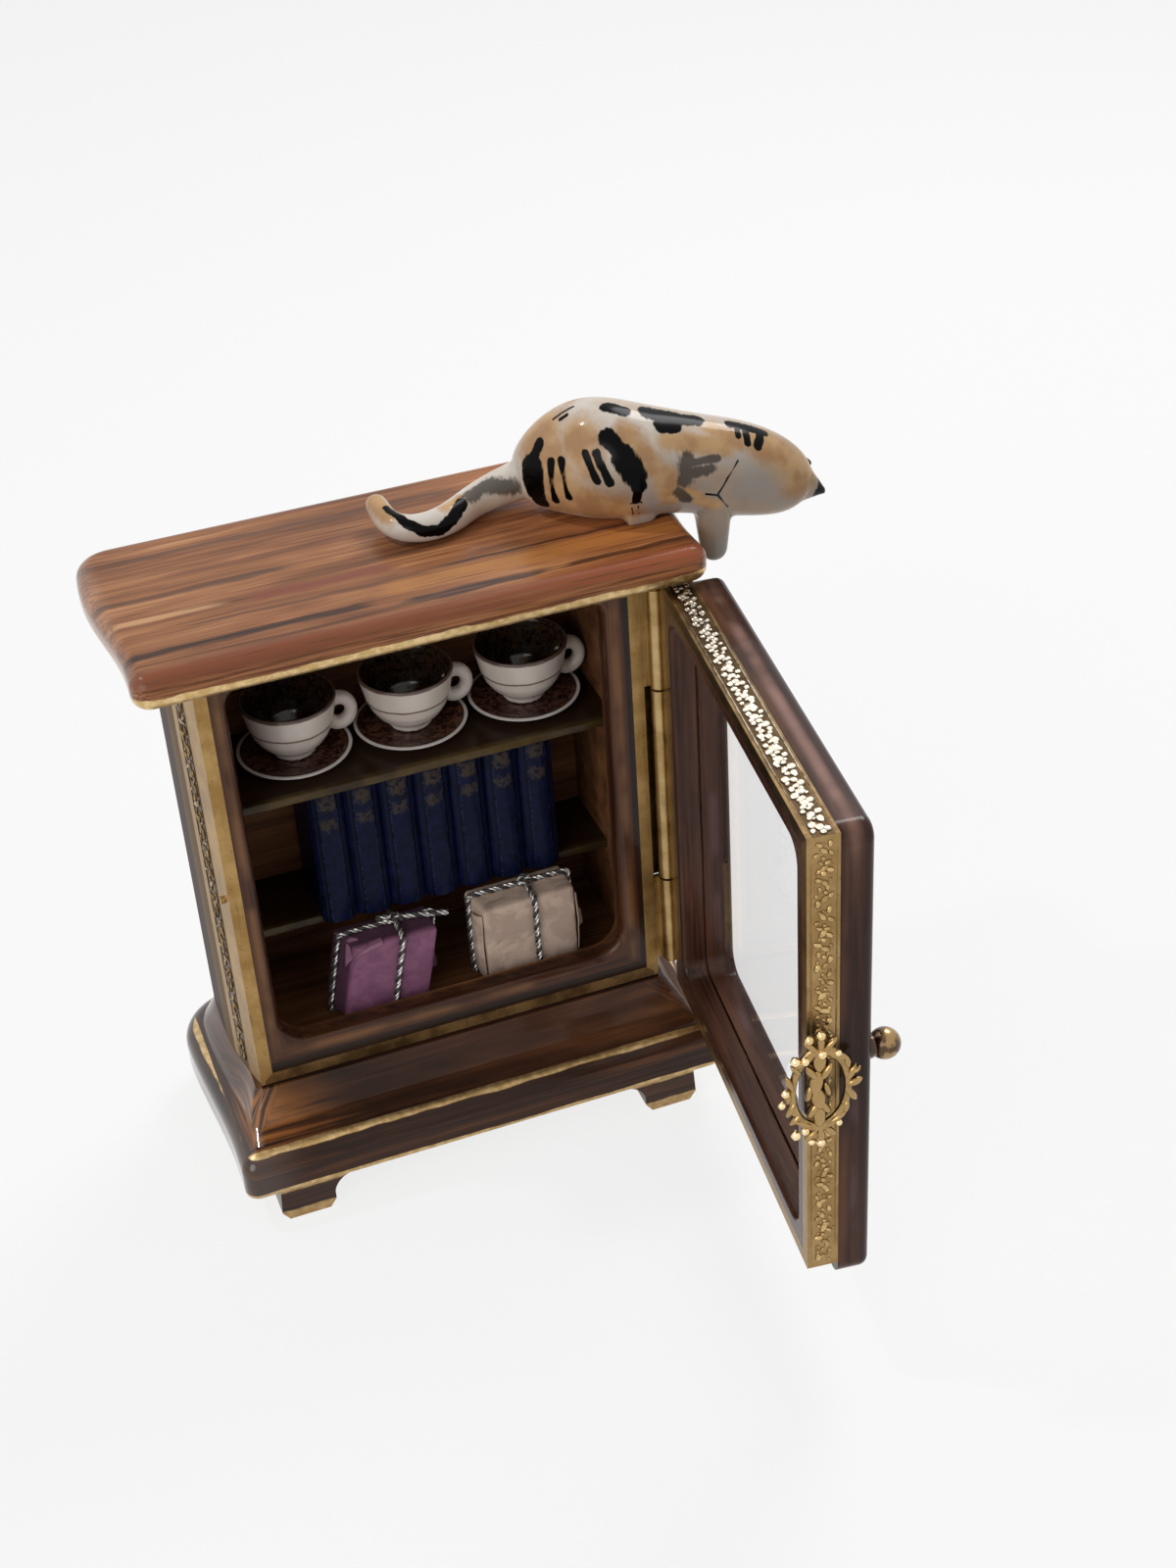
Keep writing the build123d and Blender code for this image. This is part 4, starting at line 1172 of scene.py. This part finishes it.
def make_hinge_leaf():
    """The brass leaf that closes the gap behind the door's knuckle."""
    low, high = box("hinge_knuckle_door")
    centre = (*hinge_leaf_spot, (low.z + high.z) / 2)
    size = (*hinge_leaf_size, high.z - low.z + hinge_leaf_extra)
    leaf = rounded_block(placed(centre, (1, 0, 0), (0, 0, 1), size), 0.1, 2)
    leaf.name = "hinge_leaf"
    # Painted shade: the leaf's brass is near black, far darker than the hinge's own, as the shade in the
    # gap behind the knuckle.
    dark = brass("hinge_leaf_shaded_brass", (0.030, 0.015, 0.008), (0.085, 0.050, 0.022), 0.35)
    hand_over(leaf, "cabinet", "gilt_brass", [dark])


# Cups: half profile outside and inside, from the foot up, then back under the foot
cup_profile = (
    (2.35, 0.0), (2.42, 0.28), (2.2, 0.55), (2.7, 0.95), (3.55, 1.65), (4.25, 2.7), (4.72, 4.0),
    (5.0, 5.4), (5.3, 6.85), (5.16, 7.05), (4.86, 6.85), (4.5, 5.4), (4.2, 4.0), (3.7, 2.8),
    (2.9, 1.7), (1.8, 1.0), (0.0, 0.85), (0.0, 0.15), (2.2, 0.15), (2.35, 0.0),
)
cup_height = 7.1
cup_line = 3.9
saucer_profile = (
    (0.0, 0.2), (2.7, 0.2), (2.85, 0.02), (3.2, 0.02), (3.4, 0.25), (4.8, 0.42), (5.9, 0.78), (6.3, 1.05),
    (6.33, 1.22), (6.15, 1.28), (5.2, 0.98), (4.2, 0.78), (3.3, 0.76), (3.0, 0.72), (0.0, 0.72),
)


def spun(profile, name, steps=72):
    """A half profile turned about the vertical axis through the origin, in millimetres."""
    piece = draw_line(name, [Vector((radius, 0, height)) * MM for radius, height in profile])
    bpy.ops.mesh.select_all(action="SELECT")
    bpy.ops.mesh.spin(steps=steps, angle=math.tau, center=(0, 0, 0), axis=(0, 0, 1))
    bpy.ops.mesh.select_all(action="SELECT")
    bpy.ops.mesh.remove_doubles(threshold=same_point)
    bpy.ops.mesh.normals_make_consistent(inside=False)
    end_edit()
    return piece


def spun_fields(finish, spot):
    """Distance from the axis of a spun piece, and height above its foot."""
    x, y = finish.x - spot.x, finish.y - spot.y
    return (x * x + y * y) ** 0.5, finish.z - spot.z


def cup_paint(spot):
    finish = glaze("cup_paint", 0.35, 0.25)
    radius, z = spun_fields(finish, spot)
    share = 1.0 - z / cup_height
    wall = 5.0 - 3.0 * (share * share)
    inside = (wall - radius).rise(-0.04, 0.04) * z.rise(0.88, 0.94)
    cloud = finish.noise(0.4, 3.0)
    white = finish.mix(cloud, (0.68, 0.60, 0.54), (0.58, 0.50, 0.44))
    leafy = finish.noise(1.5, 4.0, 0.7, 0.8)
    transfer = finish.mix(leafy.rise(0.42, 0.56), (0.006, 0.0035, 0.0025), (0.050, 0.024, 0.013))
    ripple = finish.noise(0.5, 2.0) * 0.3 - 0.15
    ring = (z + ripple).band(cup_line - 0.08, cup_line + 0.18, 0.06) * radius.fall(5.3, 5.5)
    rim = (z + ripple * 0.9).rise(cup_height - 0.62, cup_height - 0.42) * radius.fall(5.42, 5.5)
    colour = finish.over(
        white,
        (ring * 0.85, (0.110, 0.042, 0.020)),
        (rim * 0.9, (0.060, 0.021, 0.011)),
        (inside, transfer),
    )
    finish.set({"Base Color": colour, "Roughness": 0.22})
    return finish.material


def saucer_paint(spot):
    finish = glaze("saucer_paint", 0.3, 0.2)
    radius, z = spun_fields(finish, spot)
    leafy = finish.noise(1.3, 4.0, 0.7, 0.8)
    brown = finish.mix(leafy.rise(0.42, 0.60), (0.026, 0.009, 0.006), (0.140, 0.062, 0.040))
    top = (z - 0.62 - (radius - 4.4).most(0.0) * 0.17).rise(-0.02, 0.02) * radius.fall(5.75, 5.85)
    line = radius.band(5.75, 5.95, 0.05) * z.rise(0.9, 1.0)
    colour = finish.mix(top, (0.74, 0.70, 0.67), brown)
    finish.set({"Base Color": finish.mix(line, colour, (0.060, 0.020, 0.012)), "Roughness": 0.24})
    return finish.material


def model_cup():
    """One cup at the origin: a spun bowl with its ring handle and thumb rest grown together."""
    bowl = spun(cup_profile, "cup_bowl")
    ear = add_form(
        bpy.ops.mesh.primitive_torus_add,
        major_segments=40, minor_segments=16, major_radius=1.42 * MM, minor_radius=0.74 * MM,
        location=(5.35 * MM, 0, 3.75 * MM), rotation=(math.pi / 2, 0, 0),
    )
    ear.scale = (1.0, 1.12, 1.12)
    spur = add_form(
        bpy.ops.mesh.primitive_uv_sphere_add,
        segments=20, ring_count=12, radius=0.8 * MM, location=(5.3 * MM, 0, 5.5 * MM),
    )
    spur.scale = (1.3, 0.7, 0.9)
    return even_out(join([bowl, ear, spur], "cup_bowl"), 0.17, 5)


def make_tea_set():
    """Three cups on their saucers, copied from one of each."""
    plate = spun(saucer_profile, "saucer_plate")
    select_only(plate)
    bpy.ops.object.shade_smooth_by_angle(angle=math.radians(60))
    bowl = model_cup()
    for index in (1, 2, 3):
        spot = middle_of(f"saucer_{index}")
        for kind, source, paint in (("saucer", plate, saucer_paint), ("cup", bowl, cup_paint)):
            spot.z = box(f"{kind}_{index}")[0].z
            piece = link_new(f"{source.name}_{index}", source.data.copy())
            piece.location = metres(spot)
            settle(piece)
            hand_over(piece, "cabinet", "cup_glaze", [paint(spot)], f"{kind}_{index}")
    for source in (plate, bowl):
        bpy.data.objects.remove(source)


# Parcels: size, place of the middle of the underside, how far the lilac one leans, and how much
# further out the cord runs on the left than half the length
lilac_size = (9.8, 5.0, 9.7)
lilac_spot = Vector((-6.6, -1.4, 15.86))
lilac_lean = 2.0
lilac_splay = 0.868
beige_size = (11.1, 5.0, 10.3)
beige_spot = Vector((10.1, -1.5, 15.86))
beige_splay = 0.496

# Cords: radius, where the two loops of each lie off the parcel's middle, and how early they
# leave a side for the corner
cord_radius = 0.33
cord_shift = 0.6
cord_cross = 0.6
cord_ease = 0.8
cord_nick = 0.1
# The knot's loop and its two loose ends, from the crossing on top
knot_loop = ((-0.7, -0.3, 0.0), (0, -0.5, 0.3), (0.7, 0.1, 0.1), (0.1, 0.5, 0.35), (-0.5, 0.3, 0.1))
long_end = ((0.2, 0, 0.1), (1.6, -0.5, 0.35), (3.2, -0.7, 0.1), (4.8, -1.3, 0.25), (6.0, -1.5, 0.15))
short_end = ((0.0, 0, 0.1), (-0.9, 0.5, 0.4), (-1.9, 0.7, 0.0))


def route_points(points, closed):
    """The points of a smooth spline with a given route as its control points, in millimetres."""
    data = bpy.data.curves.new("route", "CURVE")
    data.dimensions = "3D"
    data.resolution_u = 40
    line = data.splines.new("NURBS")
    line.points.add(len(points) - 1)
    for point, place in zip(line.points, points):
        point.co = (*place, 1)
    line.use_cyclic_u = closed
    line.use_endpoint_u = not closed
    line.order_u = 3
    holder = link_new("route", data)
    mesh = bpy.data.meshes.new_from_object(holder)
    found = [vertex.co.copy() for vertex in mesh.vertices]
    bpy.data.objects.remove(holder)
    return found


# The twisted threads: how far each lies from the cord's middle, its radius and the twist's pitch
thread_offset = 0.19
thread_radius = 0.20
thread_pitch = 1.75


def strand(line, closed, across, phase, sides=6):
    """A thread that winds round a line of points: its vertices, ring by ring, and its faces."""
    count = len(line)
    gone = [0.0]
    for before, after in zip(line, line[1:]):
        gone.append(gone[-1] + (after - before).length)
    whole = gone[-1] + (line[0] - line[-1]).length * closed
    turns = round(whole / thread_pitch)
    points, faces = [], []
    for index, centre in enumerate(line):
        after = line[(index + 1) % count] if closed or index < count - 1 else centre
        before = line[index - 1] if closed or index > 0 else centre
        run = (after - before).normalized()
        side = run.cross(across).normalized()
        over = run.cross(side)
        angle = phase + math.tau * turns * gone[index] / whole
        middle = centre + (side * math.cos(angle) + over * math.sin(angle)) * thread_offset
        for corner in range(sides):
            swing = math.tau * corner / sides
            points.append(middle + (side * math.cos(swing) + over * math.sin(swing)) * thread_radius)
    for index in range(count if closed else count - 1):
        ring, following = index * sides, (index + 1) % count * sides
        for corner in range(sides):
            beside = (corner + 1) % sides
            faces.append((ring + corner, ring + beside, following + beside, following + corner))
    if not closed:
        faces.append(tuple(range(sides - 1, -1, -1)))
        faces.append(tuple(range((count - 1) * sides, count * sides)))
    return points, faces


def twisted_cord(routes, name, materials, stands_for):
    """Light and dark threads twisted together along each route."""
    points, faces, kinds = [], [], []
    for route, closed, across in routes:
        line = route_points(route, closed)
        for index in range(3):
            made, skin = strand(line, closed, Vector(across), math.tau * index / 3)
            faces += [tuple(corner + len(points) for corner in face) for face in skin]
            kinds += [0 if index < 2 else 1] * len(skin)
            points += made
    mesh = bpy.data.meshes.new(name)
    mesh.from_pydata([tuple(metres(p)) for p in points], [], faces)
    cord = link_new(name, mesh)
    select_only(cord)
    edit_all()
    bpy.ops.mesh.normals_make_consistent(inside=False)
    end_edit()
    bpy.ops.object.shade_smooth()
    hand_over(cord, "cabinet", "silver_cord", materials, stands_for)
    for face, kind in zip(cord.data.polygons, kinds):
        face.material_index = kind


def girth(near, far, low, top):
    """A loop's points round a parcel, from one side over the top and back underneath."""
    ease, nick = cord_ease, cord_nick
    return (
        (near, low + ease), (near, top - ease), (near + nick, top - nick), (near + ease, top),
        (far - ease, top), (far - nick, top - nick), (far, top - ease),
        (far, low + ease), (far - nick, low + nick), (far - ease, low),
        (near + ease, low), (near + nick, low + nick),
    )


def parcel_routes(size, spot, lean, splay):
    """The two loops round a parcel and the knot on top, and where the knot's middle is."""
    half_length, half_depth, height = size[0] / 2, size[1] / 2, size[2]
    top, low = height + cord_radius, -cord_radius
    left, right = -half_length - splay - cord_radius, half_length + cord_radius
    near, far = -half_depth - cord_radius, half_depth + cord_radius
    over, around = [], []
    for y, z in girth(near, far, low, top):
        over.append(spot + Vector((cord_shift + lean * (z / height - 0.5), y, z)))
    for x, z in girth(left, right, low, top):
        around.append(spot + Vector((x + lean * (z / height - 0.5), cord_cross, z)))
    knot = spot + Vector((cord_shift + lean / 2, cord_cross, top + 0.15))
    loop = [knot + Vector(point) for point in knot_loop]
    return [(over, True, (1, 0, 0)), (around, True, (0, 1, 0)), (loop, True, (0, 0, 1))], knot


def make_cords():
    threads = [silver_thread(), dark_thread()]
    routes, knot = parcel_routes(lilac_size, lilac_spot, lilac_lean, lilac_splay)
    for end in (long_end, short_end):
        routes.append(([knot + Vector(point) for point in end], False, (0, 0, 1)))
    twisted_cord(routes, "lilac_parcel_cord", threads, "cord_lilac")
    routes, knot = parcel_routes(beige_size, beige_spot, 0.0, beige_splay)
    twisted_cord(routes, "beige_parcel_cord", threads, "cord_beige")


paper_thickness = 0.12


def folded_paper(name, material, slot, spot, edge, folds):
    """A leaf of paper: one edge drawn point by point, then pulled out fold by fold."""
    leaf = draw_line(name, [metres(spot + Vector(point)) for point in edge])
    bpy.ops.mesh.select_mode(type="EDGE")
    bpy.ops.mesh.select_all(action="SELECT")
    for step, narrowing in folds:
        bpy.ops.mesh.extrude_region_move(TRANSFORM_OT_translate={"value": Vector(step) * MM})
        bpy.ops.transform.resize(value=(narrowing, narrowing, narrowing))
    end_edit()
    solid = leaf.modifiers.new("thick", "SOLIDIFY")
    solid.thickness = paper_thickness * MM
    solid.offset = 0
    rounding = leaf.modifiers.new("edge", "BEVEL")
    rounding.width = paper_thickness / 3 * MM
    apply_all(leaf)
    settle(leaf)
    bpy.ops.object.shade_smooth_by_angle(angle=math.radians(40))
    hand_over(leaf, "cabinet", slot, [material])


def make_parcels():
    # The lilac paper gets painted shade from just behind its front face backwards.
    front = lilac_spot.y - lilac_size[1] / 2
    lilac = paper("lilac_wrapping", (0.285, 0.115, 0.200), (0.215, 0.082, 0.155), front + 0.35)
    # Painted light: the torn folds get a lighter copy of the lilac paper, as lit paper, without its painted
    # shade.
    lit_torn_lilac = paper("lilac_torn_edge_lit", (0.340, 0.160, 0.250), (0.240, 0.100, 0.170))
    beige = paper("beige_wrapping", (0.620, 0.465, 0.370), (0.460, 0.335, 0.265))
    for colour, material in (("lilac", lilac), ("beige", beige)):
        name = "parcel_" + colour
        parcel = even_out(copy_node(name, name + "_wrap"), 0.2, 3)
        hand_over(parcel, "cabinet", colour + "_paper", [material], name)
    folded_paper(
        "lilac_fold_front", lit_torn_lilac, "lilac_paper", lilac_spot,
        ((-4.6, -2.6, 7.9), (-3.7, -2.75, 8.9), (-2.2, -2.75, 9.4), (-0.8, -2.65, 9.6)),
        (((0.25, 0.25, 0.35), 0.96), ((0.25, 0.75, 0.10), 0.85)),
    )
    folded_paper(
        "lilac_fold_side", lit_torn_lilac, "lilac_paper", lilac_spot,
        ((-5.2, -2.3, 7.7), (-4.8, -1.4, 9.0), (-4.3, -0.2, 9.6)),
        (((0.50, 0.0, 0.35), 0.95), ((0.90, -0.1, 0.10), 0.75)),
    )
    folded_paper(
        "beige_fold_left", beige, "beige_paper", beige_spot,
        ((-5.70, -2.5, 0.7), (-5.85, -2.55, 5.0), (-5.65, -2.45, 9.6)),
        (((-0.50, 0.7, 0.0), 0.95), ((-0.10, 1.4, 0.0), 0.90), ((0.45, 0.9, 0.0), 0.90)),
    )
    folded_paper(
        "beige_fold_right", beige, "beige_paper", beige_spot,
        ((5.60, -2.4, 9.5), (5.75, -2.55, 5.5), (5.60, -2.4, 1.2)),
        (((0.50, 1.3, 0.0), 0.72), ((0.10, 1.3, 0.0), 0.35)),
    )


def paint_nodes():
    """Gives every node that stays in the scene its material, chosen by its name."""
    case_gilt = brass("case_gilt", (0.300, 0.175, 0.058), (0.450, 0.285, 0.110), hollow=flange_hollow)
    low_gilt = brass("case_low_gilt", (0.095, 0.052, 0.020), (0.260, 0.155, 0.062))
    door_gilt = brass("door_gilt", (0.30, 0.185, 0.070), (0.42, 0.275, 0.120))
    top_gilt = brass("door_top_gilt", (0.100, 0.060, 0.025), (0.210, 0.135, 0.060), hollow=door_hollow)
    looks = (
        (r"top_slab", slab_glaze()),
        (r"case_shell", case_glaze()),
        (r"base_plinth", base_glaze()),
        (r"door_frame", door_glaze()),
        (r"door_knob", knob_finish()),
        (r"door_glass", window()),
        (r"foot_.*", foot_glaze()),
        (r"case_rim_bottom", low_gilt),
        (r"case_rim_(left|right|top)|catch.*", case_gilt),
        (r"door_rim_top", top_gilt),
        (r"door_rim_(?!top).*", door_gilt),
        (r"hinge_.*", brass("hinge_brass", (0.34, 0.22, 0.085), (0.50, 0.35, 0.16), 0.22)),
        (r".*_shelf", shelf_glaze()),
        (r"book_.*", book_glaze()),
    )
    for name in nodes:
        for pattern, material in looks:
            if re.fullmatch(pattern, name):
                give(nodes[name], material)


def make_mounts():
    leaf = leaf_mesh()
    make_bands(leaf)
    make_clasp(leaf)
    make_hinge_leaf()
    bpy.data.objects.remove(leaf)


# Studio: pale floor that keeps a soft shadow, pale world, and round lamps turned to the part's middle
part_middle = (0, 0, 40)
# Each lamp's name, place, size and watts
lamps = (
    ("key", (250, 190, 400), 200, 1.1),
    ("glint", (-160, 60, 330), 22, 0.22),
    ("fill", (-300, -280, 240), 300, 0.6),
)
# The floor's width in metres, and how much plain white it and the world get where they are seen
floor_size = 6.0
floor_white = 0.80
world_white = 0.66


def seen_share(tree):
    """1 for rays that the camera, a reflection or a pane sends out."""
    path = tree.nodes.new("ShaderNodeLightPath")
    seen = Value(tree, path.outputs["Is Camera Ray"])
    for name in ("Is Glossy Ray", "Is Transmission Ray"):
        seen = seen.most(Value(tree, path.outputs[name]))
    return seen


def add_floor():
    floor = add_form(bpy.ops.mesh.primitive_plane_add, size=floor_size)
    floor.name = "floor"
    finish = Finish("studio_floor", {"Base Color": (0.80, 0.80, 0.80), "Roughness": 0.9})
    paint = Value(finish.tree, finish.shader.outputs[0])
    glow = finish.node("Emission", inputs={"Color": (1.0, 1.0, 1.0), "Strength": 1.0})
    share = seen_share(finish.tree) * floor_white
    blend = finish.node("MixShader", inputs={0: share, 1: paint, 2: glow})
    plug(finish.tree, finish.output.inputs[0], blend)
    give(floor, finish.material)


def add_world():
    world = bpy.data.worlds.new("studio")
    bpy.context.scene.world = world
    world.use_nodes = True
    tree = world.node_tree
    tree.nodes.clear()
    output = tree.nodes.new("ShaderNodeOutputWorld")
    light = tree.nodes.new("ShaderNodeBackground")
    light.inputs["Color"].default_value = (1.0, 1.0, 1.0, 1.0)
    plug(tree, light.inputs["Strength"], 1.0 - world_white + seen_share(tree) * world_white)
    tree.links.new(light.outputs[0], output.inputs[0])


def add_studio():
    add_floor()
    add_world()
    for name, place, size, watts in lamps:
        add_lamp(name, place, part_middle, size, watts)
    bpy.context.scene.view_settings.view_transform = "Standard"


add_camera()
add_studio()
make_cords()
paint_nodes()
make_mounts()
make_tea_set()
make_parcels()
make_cat()
